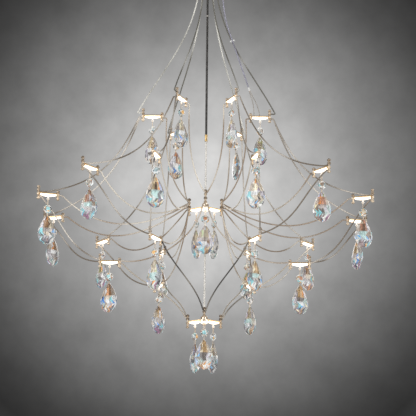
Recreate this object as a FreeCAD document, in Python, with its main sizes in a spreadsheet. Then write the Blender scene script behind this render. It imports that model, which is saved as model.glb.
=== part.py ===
import FreeCAD, Part
import math
import os

import Sketcher
from FreeCAD import Placement, Rotation, Vector

# Crystal chandelier: three rings of small light bars and two hubs, held and fed by bent wires.
# Millimetres, +Z up. The origin is the middle of the mounting bracket's top face, on the ceiling.
# An azimuth of 0 points at the viewer (-Y) and grows towards +X.

os.makedirs("parts", exist_ok=True)
doc = FreeCAD.newDocument("CrystalChandelier")

# ---------------------------------------------------------------- driving dimensions

sizes = {
    # levels, measured from the hub's own level
    "hubDrop": 490,           # ceiling down to the hub's light bars
    "upperRise": 166,         # hub up to the upper ring
    "lowerFall": 98,          # hub down to the lower ring
    "baseFall": 198,          # hub down to the base hub
    # rings: radius of the middle of their light bars
    "upperRadius": 93,
    "wideRadius": 269.5,
    "lowerRadius": 160,
    "hubPostRadius": 32,
    "pairAngle": 13.2,        # a wide bar stands this far either side of an upper bar
    # light bar
    "postSpan": 33,           # axis to axis of a bar's two posts
    "barWide": 5.4,
    "housingHigh": 2,
    "lensHigh": 3.4,
    "lensWide": 5,
    "lensEnd": 1,             # metal left bare at each end of the lens
    # terminal posts
    "postRadius": 2.3,
    "nutRadius": 3,
    "nutHigh": 3,
    "outerPostTop": 15,
    "innerPostTop": 8,
    "hubPostTop": 22.5,
    "postFoot": 9.5,
    # wire
    "wireRadius": 1,
    "wireStep": 2.4,          # between two wires that share a hub post
    "pairStep": 2.6,          # between two wires that share an outer post
    "wireClear": 0.7,         # between a bar and a wire that passes over or under it
    "nutClear": 0.3,          # between a wire and the nut above it
    # where wires meet their posts, above or below the middle of the bar
    "suspensionSeat": 6.4,
    "outwardSeat": 2.6,
    "arrivalSeat": 3.2,
    "innerSeat": 2,
    "sideSeat": 0.4,
    "riseSeat": 5,
    "baseSeat": 9,
    "hangLead": 8,            # a suspension wire's straight start below the collar
    # suspension
    "canopyRadius": 60,
    "canopyHigh": 26,
    "canopyWall": 1.2,
    "collarRadius": 17,
    "collarHigh": 9,
    "collarWireRadius": 12,
    "upperRodRadius": 2,
    "lowerRodRadius": 1.6,
    "ferruleRadius": 2.6,
    "ferruleHigh": 12.5,
    "ferruleRise": 120.5,     # hub up to the ferrule's lower end
    "coreRadius": 5.8,        # corner of a hub's hexagonal core
    "coreHigh": 12,
    "coreRise": 7,            # the core's top above the middle of its bars
    "rodClear": 0.05,
    # mounting bracket
    "bracketLong": 84,
    "bracketWide": 20,
    "bracketThick": 2,
    "fixingSpacing": 60,
    "fixingRadius": 2.25,
    "nippleRadius": 5,
    # crystal string, measured from the middle of its light bar
    "lugWide": 4.2,
    "lugThick": 1,
    "lugHigh": 7.6,
    "eyeWide": 2.4,
    "eyeFloor": 1.2,
    "linkWire": 0.8,
    "linkWide": 3.2,
    "linkHigh": 11,
    "seatGap": 0.3,
    "beadRadius": 7.3,
    "beadTable": 4,
    "beadThick": 8,
    "pinWide": 1.6,
    "pinHigh": 5,
    "dropWide": 29.5,
    "dropHigh": 50,
    "dropThick": 10,
    # feed cable, its tie, its joint and its two leads
    "cableRadius": 1.2,
    "leadRadius": 0.6,
    "leadShift": 0.9,         # a lead's start either side of the joint's axis
    "leadStraight": 6,        # straight out of the joint, and down on to the bar
    "leadBow": 2,
    "jointRadius": 2,
    "jointHigh": 7,
    "glandRadius": 2.6,
    "glandHigh": 6,
    "tieHigh": 3,
    "tieWall": 0.8,
    "tieClear": 0.3,
}

sheet = doc.addObject("Spreadsheet::Sheet", "Sizes")
for row, (alias, number) in enumerate(sizes.items(), start=1):
    sheet.set(f"A{row}", alias)
    sheet.set(f"B{row}", str(number))
    sheet.setAlias(f"B{row}", alias)
doc.recompute()


def size(alias):
    return float(getattr(sheet, alias))


hubLevel = -size("hubDrop")
upperLevel = hubLevel + size("upperRise")
lowerLevel = hubLevel - size("lowerFall")
baseLevel = hubLevel - size("baseFall")
canopyFloor = -size("canopyHigh")
collarFloor = canopyFloor - size("collarHigh")
halfSpan = size("postSpan") / 2
barTop = (size("housingHigh") + size("lensHigh")) / 2
postFlat = size("postRadius") * math.cos(math.pi / 6)
coreFlat = size("coreRadius") * math.cos(math.pi / 6)
pair = size("pairAngle")

# azimuths of the bars, each ring from the front left round by the right
ringAngles = [-30, 30, 90, 150, 210, 270]
upperAngles = [-27, 27, 90, 145, 215, 270]
wideAngles = [angle + side * pair for angle in ringAngles for side in (-1, 1)]
hubAngles = [0, 120, 240]


# ---------------------------------------------------------------- helpers

def bind(thing, **expressions):
    """Ties properties of a document object to the sheet."""
    for name, expression in expressions.items():
        thing.setExpression(name, expression)


def outward(angle):
    """Unit vector away from the middle at an azimuth."""
    turn = math.radians(angle)
    return Vector(math.sin(turn), -math.cos(turn), 0)


def spot(radius, angle, level):
    return outward(angle) * radius + Vector(0, 0, level)


def turned(radius, angle, level):
    """Placement that carries a piece drawn along +X out to a radius and azimuth."""
    return Placement(spot(radius, angle, level), Rotation(Vector(0, 0, 1), angle - 90))


def solidFrom(loops):
    """Solid with flat faces, each given by its corners in order."""
    faces = [Part.Face(Part.makePolygon(loop + [loop[0]])) for loop in loops]
    solid = Part.Solid(Part.Shell(faces))
    if solid.Volume < 0:
        solid.reverse()
    return solid


def keep(label, solids):
    """A sub-part made of one or several separate solids."""
    feature = doc.addObject("Part::Feature", label)
    feature.Label = label
    feature.Shape = solids[0] if len(solids) == 1 else Part.makeCompound(solids)
    feature.Placement = Placement()
    parts.append(feature)
    return feature


def copied(master, placement):
    shape = master.Shape.copy()
    shape.Placement = placement.multiply(shape.Placement)
    return shape


def master(kind, label, **expressions):
    """A primitive bound to the sheet, kept as the pattern for copies."""
    thing = doc.addObject(kind, label)
    thing.Label = label
    bind(thing, **expressions)
    return thing


def originPlane(body, role):
    return next(plane for plane in body.Origin.OriginFeatures if plane.Role == role)


def sketchOn(body, role, label):
    sketch = body.newObject("Sketcher::SketchObject", label)
    sketch.AttachmentSupport = [(originPlane(body, role), "")]
    sketch.MapMode = "FlatFace"
    return sketch


def drawLoop(sketch, corners):
    """Closed loop of lines through (x, y) corners, joined end to end."""
    count = len(corners)
    for here, there in zip(corners, corners[1:] + corners[:1]):
        sketch.addGeometry(Part.LineSegment(Vector(*here, 0), Vector(*there, 0)), False)
    for i in range(count):
        sketch.addConstraint(Sketcher.Constraint("Coincident", i, 2, (i + 1) % count, 1))


def dimension(sketch, kind, *references, expression):
    """A driving distance in a sketch, bound to the sheet."""
    number = sketch.addConstraint(Sketcher.Constraint(kind, *references))
    sketch.setExpression(f"Constraints[{number}]", expression)


parts = []

# ---------------------------------------------------------------- canopy and bracket

canopy = doc.addObject("PartDesign::Body", "ceiling_canopy")
canopy.Label = "ceiling_canopy"
profile = sketchOn(canopy, "XZ_Plane", "CanopyProfile")
wall = size("canopyWall")
rim = size("canopyRadius")
bore = size("nippleRadius") + size("rodClear")
drawLoop(profile, [
    (bore, canopyFloor),
    (rim, canopyFloor),
    (rim, 0),
    (rim - wall, 0),
    (rim - wall, canopyFloor + wall),
    (bore, canopyFloor + wall),
])
for line, way in enumerate(["Horizontal", "Vertical"] * 3):
    profile.addConstraint(Sketcher.Constraint(way, line))
profile.addConstraint(Sketcher.Constraint("PointOnObject", 1, 2, -1))
dimension(profile, "DistanceX", -1, 1, 0, 1, bore, expression="Sizes.nippleRadius + Sizes.rodClear")
dimension(profile, "DistanceX", -1, 1, 0, 2, rim, expression="Sizes.canopyRadius")
dimension(profile, "DistanceY", 0, 1, -1, 1, -canopyFloor, expression="Sizes.canopyHigh")
dimension(profile, "DistanceX", 2, 2, 2, 1, wall, expression="Sizes.canopyWall")
dimension(profile, "DistanceY", 0, 1, 5, 1, wall, expression="Sizes.canopyWall")
spin = canopy.newObject("PartDesign::Revolution", "CanopySpin")
spin.Profile = profile
spin.ReferenceAxis = (profile, ["V_Axis"])
spin.Angle = 360
parts.append(canopy)

bracket = doc.addObject("PartDesign::Body", "mounting_bracket")
bracket.Label = "mounting_bracket"
strip = sketchOn(bracket, "XY_Plane", "BracketStrip")
half = size("bracketLong") / 2
side = size("bracketWide") / 2
drawLoop(strip, [(-half, -side), (half, -side), (half, side), (-half, side)])
for line, way in enumerate(["Horizontal", "Vertical"] * 2):
    strip.addConstraint(Sketcher.Constraint(way, line))
dimension(strip, "DistanceX", -1, 1, 0, 2, half, expression="Sizes.bracketLong / 2")
dimension(strip, "DistanceX", 0, 1, -1, 1, half, expression="Sizes.bracketLong / 2")
dimension(strip, "DistanceY", 0, 2, -1, 1, side, expression="Sizes.bracketWide / 2")
dimension(strip, "DistanceY", -1, 1, 1, 2, side, expression="Sizes.bracketWide / 2")
for place in (-1, 1):
    number = strip.addGeometry(
        Part.Circle(Vector(place * size("fixingSpacing") / 2, 0, 0), Vector(0, 0, 1), size("fixingRadius")), False)
    strip.addConstraint(Sketcher.Constraint("PointOnObject", number, 3, -1))
    ends = (-1, 1, number, 3) if place > 0 else (number, 3, -1, 1)
    dimension(strip, "DistanceX", *ends, size("fixingSpacing") / 2, expression="Sizes.fixingSpacing / 2")
    dimension(strip, "Radius", number, size("fixingRadius"), expression="Sizes.fixingRadius")
stripPad = bracket.newObject("PartDesign::Pad", "BracketPad")
stripPad.Profile = strip
stripPad.Reversed = True
bind(stripPad, Length="Sizes.bracketThick")
parts.append(bracket)

nipple = master("Part::Cylinder", "canopy_nipple", Radius="Sizes.nippleRadius",
                Height="Sizes.canopyHigh - Sizes.bracketThick")
nipple.Placement.Base = Vector(0, 0, canopyFloor)
parts.append(nipple)

# ---------------------------------------------------------------- collar, rods and hub cores

def bored(label, outer, hole, placement):
    """An outer shape with a through bore, both bound to the sheet."""
    cut = doc.addObject("Part::Cut", label)
    cut.Label = label
    cut.Base = outer
    cut.Tool = hole
    cut.Placement = placement
    parts.append(cut)


collar = master("Part::Cylinder", "canopy_collar", Radius="Sizes.collarRadius", Height="Sizes.collarHigh")
collar.Placement.Base = Vector(0, 0, collarFloor)
parts.append(collar)

upperRod = master("Part::Cylinder", "upper_rod", Radius="Sizes.upperRodRadius",
                  Height="Sizes.hubDrop - Sizes.ferruleRise - Sizes.ferruleHigh - Sizes.canopyHigh - Sizes.collarHigh")
upperRod.Placement.Base = Vector(0, 0, hubLevel + size("ferruleRise") + size("ferruleHigh"))
parts.append(upperRod)

ferrule = master("Part::Cylinder", "rod_ferrule", Radius="Sizes.ferruleRadius", Height="Sizes.ferruleHigh")
ferrule.Placement.Base = Vector(0, 0, hubLevel + size("ferruleRise"))
parts.append(ferrule)

coreFoot = size("coreHigh") - size("coreRise")
lowerRod = master("Part::Cylinder", "lower_rod", Radius="Sizes.lowerRodRadius",
                  Height="Sizes.ferruleRise + Sizes.baseFall + Sizes.coreHigh - Sizes.coreRise")
lowerRod.Placement.Base = Vector(0, 0, baseLevel - coreFoot)
parts.append(lowerRod)

for label, level in (("hub_core", hubLevel), ("base_core", baseLevel)):
    blank = master("Part::Prism", label + "Blank", Circumradius="Sizes.coreRadius", Height="Sizes.coreHigh")
    blank.Polygon = 6
    coreBore = master("Part::Cylinder", label + "Bore", Radius="Sizes.lowerRodRadius + Sizes.rodClear",
                      Height="Sizes.coreHigh")
    bored(label, blank, coreBore, Placement(Vector(0, 0, level - coreFoot), Rotation()))
baseNut = master("Part::Prism", "base_nut", Circumradius="Sizes.nutRadius", Height="Sizes.nutHigh")
baseNut.Polygon = 6
baseNut.Placement.Base = Vector(0, 0, baseLevel - coreFoot - size("nutHigh"))
parts.append(baseNut)
doc.recompute()

# ---------------------------------------------------------------- light bars and their posts

rings = {
    "upper": (size("upperRadius"), upperAngles, upperLevel),
    "wide": (size("wideRadius"), wideAngles, hubLevel),
    "lower": (size("lowerRadius"), ringAngles, lowerLevel),
}

housing = master("Part::Box", "BarHousing", Length="Sizes.postSpan - 2 * Sizes.postRadius * cos(30 deg)",
                 Width="Sizes.barWide", Height="Sizes.housingHigh")
lens = master("Part::Box", "BarLens",
              Length="Sizes.postSpan - 2 * Sizes.postRadius * cos(30 deg) - 2 * Sizes.lensEnd",
              Width="Sizes.lensWide", Height="Sizes.lensHigh")
hubHousing = master("Part::Box", "HubHousing",
                    Length="Sizes.hubPostRadius - (Sizes.postRadius + Sizes.coreRadius) * cos(30 deg)",
                    Width="Sizes.barWide", Height="Sizes.housingHigh")
hubLens = master("Part::Box", "HubLens",
                 Length="Sizes.hubPostRadius - (Sizes.postRadius + Sizes.coreRadius) * cos(30 deg) - 2 * Sizes.lensEnd",
                 Width="Sizes.lensWide", Height="Sizes.lensHigh")
capNut = master("Part::Prism", "CapNut", Circumradius="Sizes.nutRadius", Height="Sizes.nutHigh")
capNut.Polygon = 6
posts = {}
for kind in ("outer", "inner", "hub"):
    posts[kind] = master("Part::Prism", kind.capitalize() + "Post", Circumradius="Sizes.postRadius",
                         Height=f"Sizes.{kind}PostTop + Sizes.postFoot - 2 * Sizes.nutHigh")
    posts[kind].Polygon = 6
doc.recompute()


def barSolids(middle, angle, level, metal, glass):
    """A bar's metal housing with its lens below, centred on a radius."""
    where = turned(middle, angle, level)
    metalCorner = Vector(-metal.Length.Value / 2, -metal.Width.Value / 2, barTop - metal.Height.Value)
    glassCorner = Vector(-glass.Length.Value / 2, -glass.Width.Value / 2, -barTop)
    return [copied(metal, where.multiply(Placement(metalCorner, Rotation()))),
            copied(glass, where.multiply(Placement(glassCorner, Rotation())))]


def postSolids(kind, radius, angle, level):
    """A post between its foot nut and its cap nut, a flat turned to the bar."""
    where = turned(radius, angle, level)
    flat = Rotation(Vector(0, 0, 1), 30)
    foot = -size("postFoot")
    cap = size(kind + "PostTop") - size("nutHigh")
    return [copied(capNut, where.multiply(Placement(Vector(0, 0, foot), flat))),
            copied(posts[kind], where.multiply(Placement(Vector(0, 0, foot + size("nutHigh")), flat))),
            copied(capNut, where.multiply(Placement(Vector(0, 0, cap), flat)))]


hubBarMiddle = (coreFlat + size("hubPostRadius") - postFlat) / 2
for name, (radius, angles, level) in rings.items():
    bars, pins = [], []
    for angle in angles:
        bars += barSolids(radius, angle, level, housing, lens)
        pins += postSolids("outer", radius + halfSpan, angle, level)
        pins += postSolids("inner", radius - halfSpan, angle, level)
    keep(f"light_bars_{name}", bars)
    keep(f"posts_{name}", pins)

hubBars, hubPins = [], []
for level, kind in ((hubLevel, "hub"), (baseLevel, "outer")):
    for angle in hubAngles:
        hubBars += barSolids(hubBarMiddle, angle, level, hubHousing, hubLens)
        hubPins += postSolids(kind, size("hubPostRadius"), angle, level)
keep("light_bars_hubs", hubBars)
keep("posts_hubs", hubPins)

# ---------------------------------------------------------------- wires

def bentTube(points, radius, sides, across):
    """Straight runs of a flat-sided tube, mitred at each point of the route."""
    ways = [(b - a).normalize() for a, b in zip(points, points[1:])]
    side = across
    other = ways[0].cross(side)
    turns = [2 * math.pi * k / sides for k in range(sides)]
    ring = [points[0] + (side * math.cos(t) + other * math.sin(t)) * radius for t in turns]
    rings = [ring]
    for i in range(1, len(points)):
        way = ways[i - 1]
        last = i == len(points) - 1
        facing = way if last else way + ways[i]
        ring = [corner + way * ((points[i] - corner).dot(facing) / way.dot(facing)) for corner in ring]
        rings.append(ring)
    loops = [rings[0][::-1], rings[-1]]
    for near, far in zip(rings, rings[1:]):
        for k in range(sides):
            j = (k + 1) % sides
            loops.append([near[k], near[j], far[j], far[k]])
    return solidFrom(loops)


def bow(start, startHandle, endHandle, end, runs):
    """Points of a cubic curve between two ends, both included."""
    shares = [i / runs for i in range(runs + 1)]
    return [start * (1 - t) ** 3 + startHandle * (3 * t * (1 - t) ** 2)
            + endHandle * (3 * t * t * (1 - t)) + end * t ** 3 for t in shares]


def sprungRoute(start, end, shape, runs=5, plunge=0):
    """Points of a wire between two upright posts, in the upright plane through both.

    shape holds, for each end, the level straight lead out of the post, the length of the
    curve's handle and the handle's slope in degrees. A negative lead leaves the post's far side.
    A wire that hangs from above plunges straight down first.
    """
    seat = size("postRadius")
    flatWay = Vector(end.x - start.x, end.y - start.y, 0).normalize()
    up = Vector(0, 0, 1)
    (leadA, handleA, slopeA), (leadB, handleB, slopeB) = shape
    first = start + flatWay * leadA - up * plunge
    last = end - flatWay * leadB
    tiltA, tiltB = math.radians(slopeA), math.radians(slopeB)
    curve = bow(first,
                first + (flatWay * math.cos(tiltA) + up * math.sin(tiltA)) * handleA,
                last + (flatWay * -math.cos(tiltB) + up * math.sin(tiltB)) * handleB,
                last, runs)
    begin = start if plunge else start + flatWay * math.copysign(seat, leadA)
    return [begin] + curve + [end - flatWay * math.copysign(seat, leadB)]


def sprung(start, end, shape, runs=5, plunge=0):
    """The wire along such a route."""
    route = sprungRoute(start, end, shape, runs, plunge)
    flatWay = Vector(end.x - start.x, end.y - start.y, 0).normalize()
    return bentTube(route, size("wireRadius"), 5, flatWay.cross(Vector(0, 0, 1)))


halfPair = size("pairStep") / 2
overBar = barTop + size("wireRadius") + size("wireClear")
underBar = -overBar

# ceiling collar to the upper ring: trumpet-shaped, hooked back in to the outer post
suspensionShape = ((0, 127, -88.5), (-10, 101, 63))


def suspensionEnds(angle):
    return (spot(size("collarWireRadius"), angle, collarFloor),
            spot(size("upperRadius") + halfSpan, angle, upperLevel + size("suspensionSeat")))


hang = {"runs": 6, "plunge": size("hangLead")}
keep("wires_suspension", [sprung(*suspensionEnds(angle), suspensionShape, **hang) for angle in upperAngles])

# upper ring down to the hub, from the inner posts
dropShape = ((8.5, 52, -93), (4, 50, 42))
hubRise = size("hubPostTop") - size("nutHigh") - size("wireRadius") - size("nutClear")
upperPosts = [0, 0, 120, 120, 240, 240]
upperRanks = [0, 1, 0, 1, 1, 0]
upperToHub = []
for angle, post, rank in zip(upperAngles, upperPosts, upperRanks):
    upperToHub.append(sprung(
        spot(size("upperRadius") - halfSpan, angle, upperLevel - size("innerSeat")),
        spot(size("hubPostRadius"), post, hubLevel + hubRise - rank * size("wireStep")), dropShape))
keep("wires_upper_to_hub", upperToHub)

# upper ring out to the wide ring: two from each outer post
outShape = ((7, 85, -68), (9, 100, 14))
upperToWide = []
for upperAngle, angle in zip(upperAngles, ringAngles):
    for side in (-1, 1):
        upperToWide.append(sprung(
            spot(size("upperRadius") + halfSpan, upperAngle, upperLevel - size("outwardSeat") + side * halfPair),
            spot(size("wideRadius") + halfSpan, angle + side * pair, hubLevel + overBar), outShape))
keep("wires_upper_to_wide", upperToWide)

# wide ring in to the hub: six to each side post, one above the other
sagShape = ((8, 105, -42), (7, 65, -33))
wideToHub = []
frontToBack = [middle + side * pair for middle in (30, 90, 150) for side in (-1, 1)]
for hand, post in ((1, 120), (-1, 240)):
    for rank, angle in enumerate(reversed(frontToBack)):
        wideToHub.append(sprung(
            spot(size("wideRadius") - halfSpan, hand * angle, hubLevel),
            spot(size("hubPostRadius"), post, hubLevel + size("sideSeat") + rank * size("wireStep")), sagShape))
keep("wires_wide_to_hub", wideToHub)

# wide ring down to the lower ring: two to each outer post
fallShape = ((5, 62, -40), (6, 62, 12))
wideToLower = []
for angle in ringAngles:
    for side in (-1, 1):
        wideToLower.append(sprung(
            spot(size("wideRadius") + halfSpan, angle + side * pair, hubLevel + underBar),
            spot(size("lowerRadius") + halfSpan, angle, lowerLevel + size("arrivalSeat") + side * halfPair),
            fallShape))
keep("wires_wide_to_lower", wideToLower)

# lower ring up to the hub, from the inner posts
riseShape = ((6, 50, 0), (4, 60, -68))
frontRiseShape = ((6, 50, -12), (4, 66, -80))
lowerHub = {-30: 240, 30: 120, 90: 0, 150: 120, 210: 240, 270: 0}
lowerToHub = []
for angle, post in lowerHub.items():
    rank = 0 if angle in (-30, 30, 90) else 1
    lowerToHub.append(sprung(
        spot(size("lowerRadius") - halfSpan, angle, lowerLevel + size("innerSeat")),
        spot(size("hubPostRadius"), post, hubLevel - size("riseSeat") + rank * size("wireStep")),
        riseShape if post else frontRiseShape))
keep("wires_lower_to_hub", lowerToHub)

# lower ring down to the base hub, from the inner posts
baseShape = ((5, 46, -50), (4, 44, 66))
lowerBase = {-30: 0, 30: 0, 90: 120, 150: 120, 210: 240, 270: 240}
lowerToBase = []
for angle, post in lowerBase.items():
    rank = 0 if angle in (-30, 90, 270) else 1
    lowerToBase.append(sprung(
        spot(size("lowerRadius") - halfSpan, angle, lowerLevel - size("innerSeat")),
        spot(size("hubPostRadius"), post, baseLevel + size("baseSeat") - rank * size("wireStep")), baseShape))
keep("wires_lower_to_base", lowerToBase)

# ---------------------------------------------------------------- crystal strings

def windowPlate(wide, high, thick, holeWide, holeLow, holeHigh):
    """Upright plate hanging below the origin, across X, with a square window through it."""
    plate = Part.makeBox(wide, thick, high, Vector(-wide / 2, -thick / 2, -high))
    window = Part.makeBox(holeWide, thick, holeHigh - holeLow, Vector(-holeWide / 2, -thick / 2, holeLow))
    return plate.cut(window)


def facetedBead():
    """Eight-sided bead: a table on each face and slanting facets out to the edge."""
    radius, table, halfThick = size("beadRadius"), size("beadTable"), size("beadThick") / 2
    steps = [math.radians(22.5 + 45 * k) for k in range(8)]
    edge = [Vector(radius * math.cos(t), 0, radius * math.sin(t)) for t in steps]
    loops = []
    for side in (-1, 1):
        top = [Vector(table * math.cos(t), side * halfThick, table * math.sin(t)) for t in steps]
        loops.append(top if side < 0 else top[::-1])
        for k in range(8):
            j = (k + 1) % 8
            loop = [edge[k], edge[j], top[j], top[k]]
            loops.append(loop if side < 0 else loop[::-1])
    return solidFrom(loops)


def facetedDrop():
    """Almond drop: its outline, a six-cornered table each side and flat facets between."""
    wide, high, halfThick = size("dropWide") / 2, size("dropHigh"), size("dropThick") / 2
    # right-hand half of the outline as shares of the half width and the height
    half = [(0.10, 0), (0.50, -0.22), (0.92, -0.45), (1, -0.66), (0.82, -0.87), (0.34, -0.99)]
    outline = half + [(-x, z) for x, z in half[::-1]]
    table = [(0, -0.34), (0.46, -0.58), (0.40, -0.78), (0, -0.88), (-0.40, -0.78), (-0.46, -0.58)]
    edge = [Vector(x * wide, 0, z * high) for x, z in outline]
    # table corner that each edge corner's facets run to
    target = [0, 0, 1, 1, 2, 3, 3, 4, 5, 5, 0, 0]
    loops = []
    for side in (-1, 1):
        top = [Vector(x * wide, side * halfThick, z * high) for x, z in table]
        loops.append(top)
        for k in range(12):
            j = (k + 1) % 12
            loops.append([edge[k], edge[j], top[target[k]]])
            if target[j] != target[k]:
                loops.append([edge[j], top[target[j]], top[target[k]]])
    return solidFrom(loops)


lugDrop = -barTop
eyeFloorLevel = lugDrop - size("lugHigh") + size("eyeFloor")
pivotLevel = eyeFloorLevel + size("seatGap") + size("linkWire") / 2
linkTop = pivotLevel + size("linkWire") / 2
beadFlat = size("beadRadius") * math.cos(math.pi / 8)
beadTop = linkTop - size("linkHigh")
pinTop = beadTop - 2 * beadFlat
dropTop = pinTop - size("pinHigh")

lug = windowPlate(size("lugWide"), size("lugHigh"), size("lugThick"), size("eyeWide"),
                  -size("lugHigh") + size("eyeFloor"), -size("lugHigh") + size("eyeFloor") + size("eyeWide"))
link = windowPlate(size("linkWide"), size("linkHigh"), size("linkWire"),
                   size("linkWide") - 2 * size("linkWire"),
                   -size("linkHigh") + size("linkWire"), -size("linkWire"))
bead = facetedBead()
pin = Part.makeBox(size("pinWide"), size("linkWire"), size("pinHigh"),
                   Vector(-size("pinWide") / 2, -size("linkWire") / 2, -size("pinHigh")))
drop = facetedDrop()

# how far each drop is turned about its string, as they hang in the photograph; 0 faces the viewer
dropTurns = {
    "upper": [40, -52, 36, -64, 28, -38],
    "wide": [-20, 12, -10, 6, 8, -56, 34, -30, 48, -42, 46, 12],
    "lower": [-30, 34, 22, -46, 38, -20],
    "hub": [0, 120, 240],
    "base": [0, 120, 240],
}


def stringSolids(radius, angle, level, turn):
    """Link, bead, pin and drop under the middle of a bar."""
    where = spot(radius, angle, level)
    along = Rotation(Vector(0, 0, 1), angle)
    facing = Rotation(Vector(0, 0, 1), turn)
    placed = []
    for shape, depth, rotation in ((link, linkTop, along), (bead, beadTop - beadFlat, facing),
                                   (pin, pinTop, facing), (drop, dropTop, facing)):
        copy = shape.copy()
        copy.Placement = Placement(where + Vector(0, 0, depth), rotation)
        placed.append(copy)
    return placed


def lugSolid(radius, angle, level):
    copy = lug.copy()
    copy.Placement = turned(radius, angle, level).multiply(Placement(Vector(0, 0, lugDrop), Rotation()))
    return copy


hangers = dict(rings)
hangers["hub"] = (hubBarMiddle, hubAngles, hubLevel)
hangers["base"] = (hubBarMiddle, hubAngles, baseLevel)
lugs = []
for name, (radius, angles, level) in hangers.items():
    for number, (angle, turn) in enumerate(zip(angles, dropTurns[name]), start=1):
        lugs.append(lugSolid(radius, angle, level))
        keep(f"crystal_{name}_{number}", stringSolids(radius, angle, level, turn))
keep("crystal_lugs", lugs)

# ---------------------------------------------------------------- feed cable

across = Vector(0, 1, 0)
cableSide = -3.2          # the cable hangs this far in front of the wire that it is tied to
cableRoute = [(25, canopyFloor - size("glandHigh")), (25, -60), (26.8, -105), (33.2, -148), (44.2, -181),
              (54, -212), (64, -242), (72.5, -269)]
cablePoints = [Vector(x, cableSide, z) for x, z in cableRoute]
keep("feed_cable", [bentTube(cablePoints, size("cableRadius"), 6, across)])

jointWay = (cablePoints[-1] - cablePoints[-2]).normalize()
jointEnd = cablePoints[-1] + jointWay * size("jointHigh")
leadFeet = [82.5, 92]     # where the two leads land on the right-hand upper bar
leads = []
for side, foot in zip((1, -1), leadFeet):
    begin = jointEnd + across.cross(jointWay) * (side * size("leadShift"))
    bend = begin + jointWay * size("leadStraight")
    end = Vector(foot, 0, upperLevel + barTop)
    landing = end + Vector(0, 0, size("leadStraight"))
    middle = (bend + landing) / 2 + Vector(size("leadBow"), 0, 0)
    leads.append(bentTube([begin, bend, middle, landing, end], size("leadRadius"), 5, across))
keep("feed_leads", leads)

# gland in the canopy's floor, joint between cable and leads, and the tie round cable and wire
gland = master("Part::Prism", "CableGland", Circumradius="Sizes.glandRadius", Height="Sizes.glandHigh")
gland.Polygon = 6
jointBlock = master("Part::Prism", "CableJoint", Circumradius="Sizes.jointRadius", Height="Sizes.jointHigh")
jointBlock.Polygon = 6
doc.recompute()
tieLevel = -181
tiedWire = sprungRoute(*suspensionEnds(90), suspensionShape, **hang)
above, below = next((a, b) for a, b in zip(tiedWire, tiedWire[1:]) if a.z >= tieLevel > b.z)
tieWay = (below - above).normalize()
tieSpot = above + tieWay * ((tieLevel - above.z) / tieWay.z)
nearEdge = cableSide - size("cableRadius") - size("tieClear")
farEdge = size("wireRadius") + size("tieClear")
eyeHigh = 2 * (size("cableRadius") + size("tieClear"))
tie = windowPlate(farEdge - nearEdge + 2 * size("tieWall"), eyeHigh + 2 * size("tieWall"), size("tieHigh"),
                  farEdge - nearEdge, -size("tieWall") - eyeHigh, -size("tieWall"))
tie.Placement = Placement(
    tieSpot + across * ((nearEdge + farEdge) / 2) + tieWay.cross(across) * (size("tieWall") + eyeHigh / 2),
    Rotation(across * -1, tieWay, tieWay.cross(across), "YZX"))
keep("cable_fittings", [
    copied(gland, Placement(Vector(cableRoute[0][0], cableSide, canopyFloor - size("glandHigh")), Rotation())),
    copied(jointBlock, Placement(cablePoints[-1], Rotation(Vector(0, 0, 1), jointWay))),
    tie,
])
doc.recompute()

# ---------------------------------------------------------------- checks and files

for thing in doc.Objects:
    if "Invalid" in thing.State or "Error" in thing.State:
        raise RuntimeError(f"{thing.Label}: {thing.State}")
for part in parts:
    if part.Shape.isNull() or not part.Shape.isValid():
        raise RuntimeError(f"{part.Label} has no valid shape")
    if not all(solid.Volume > 0 for solid in part.Shape.Solids):
        raise RuntimeError(f"{part.Label} holds a solid without volume")
for part in parts:
    part.Shape.exportStep(f"parts/{part.Label}.step")
print(len(parts), "sub-parts")
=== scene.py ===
import math

import bpy
import numpy as np
from mathutils import Matrix, Vector


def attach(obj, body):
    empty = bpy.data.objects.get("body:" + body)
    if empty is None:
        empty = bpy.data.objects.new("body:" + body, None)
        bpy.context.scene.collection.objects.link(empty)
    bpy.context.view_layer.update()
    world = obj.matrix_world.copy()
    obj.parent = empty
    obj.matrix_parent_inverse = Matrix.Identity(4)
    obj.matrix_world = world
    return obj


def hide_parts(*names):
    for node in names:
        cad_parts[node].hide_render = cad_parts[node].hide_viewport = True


# Crystal chandelier around its CAD frame. Shapes are worked out in millimetres, +Z up, with the
# origin on the ceiling, and turned into metres as they become meshes. Azimuth 0 faces the viewer.

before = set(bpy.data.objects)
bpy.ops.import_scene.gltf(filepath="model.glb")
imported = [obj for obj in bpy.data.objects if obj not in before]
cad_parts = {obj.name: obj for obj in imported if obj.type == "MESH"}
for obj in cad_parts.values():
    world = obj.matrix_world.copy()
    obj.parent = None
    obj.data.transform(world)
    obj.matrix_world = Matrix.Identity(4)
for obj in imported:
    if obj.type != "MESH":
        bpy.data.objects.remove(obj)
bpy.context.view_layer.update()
print("frame loaded:", len(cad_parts), "nodes")

levels = {"collarFloor": -35.0, "upper": -324.0, "hub": -490.0, "lower": -588.0, "base": -688.0}
radii = {"upper": 93.0, "wide": 269.5, "lower": 160.0, "hubPost": 32.0, "halfSpan": 16.5}
pairAngle = 13.2              # from the middle of two neighbouring wide bars to each of them
ringAngles = [-30, 30, 90, 150, 210, 270]
upperAngles = [-27, 27, 90, 145, 215, 270]
wideAngles = [angle + side * pairAngle for angle in ringAngles for side in (-1, 1)]
hubAngles = [0, 120, 240]
# each ring of light bars: radius, azimuths and level
rings = {
    "upper": (radii["upper"], upperAngles, levels["upper"]),
    "wide": (radii["wide"], wideAngles, levels["hub"]),
    "lower": (radii["lower"], ringAngles, levels["lower"]),
}


def outward(angle):
    # unit vector away from the middle at an azimuth in degrees
    turn = math.radians(angle)
    return np.array([math.sin(turn), -math.cos(turn), 0.0])


def spot(radius, angle, level):
    return outward(angle) * radius + np.array([0.0, 0.0, level])


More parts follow.
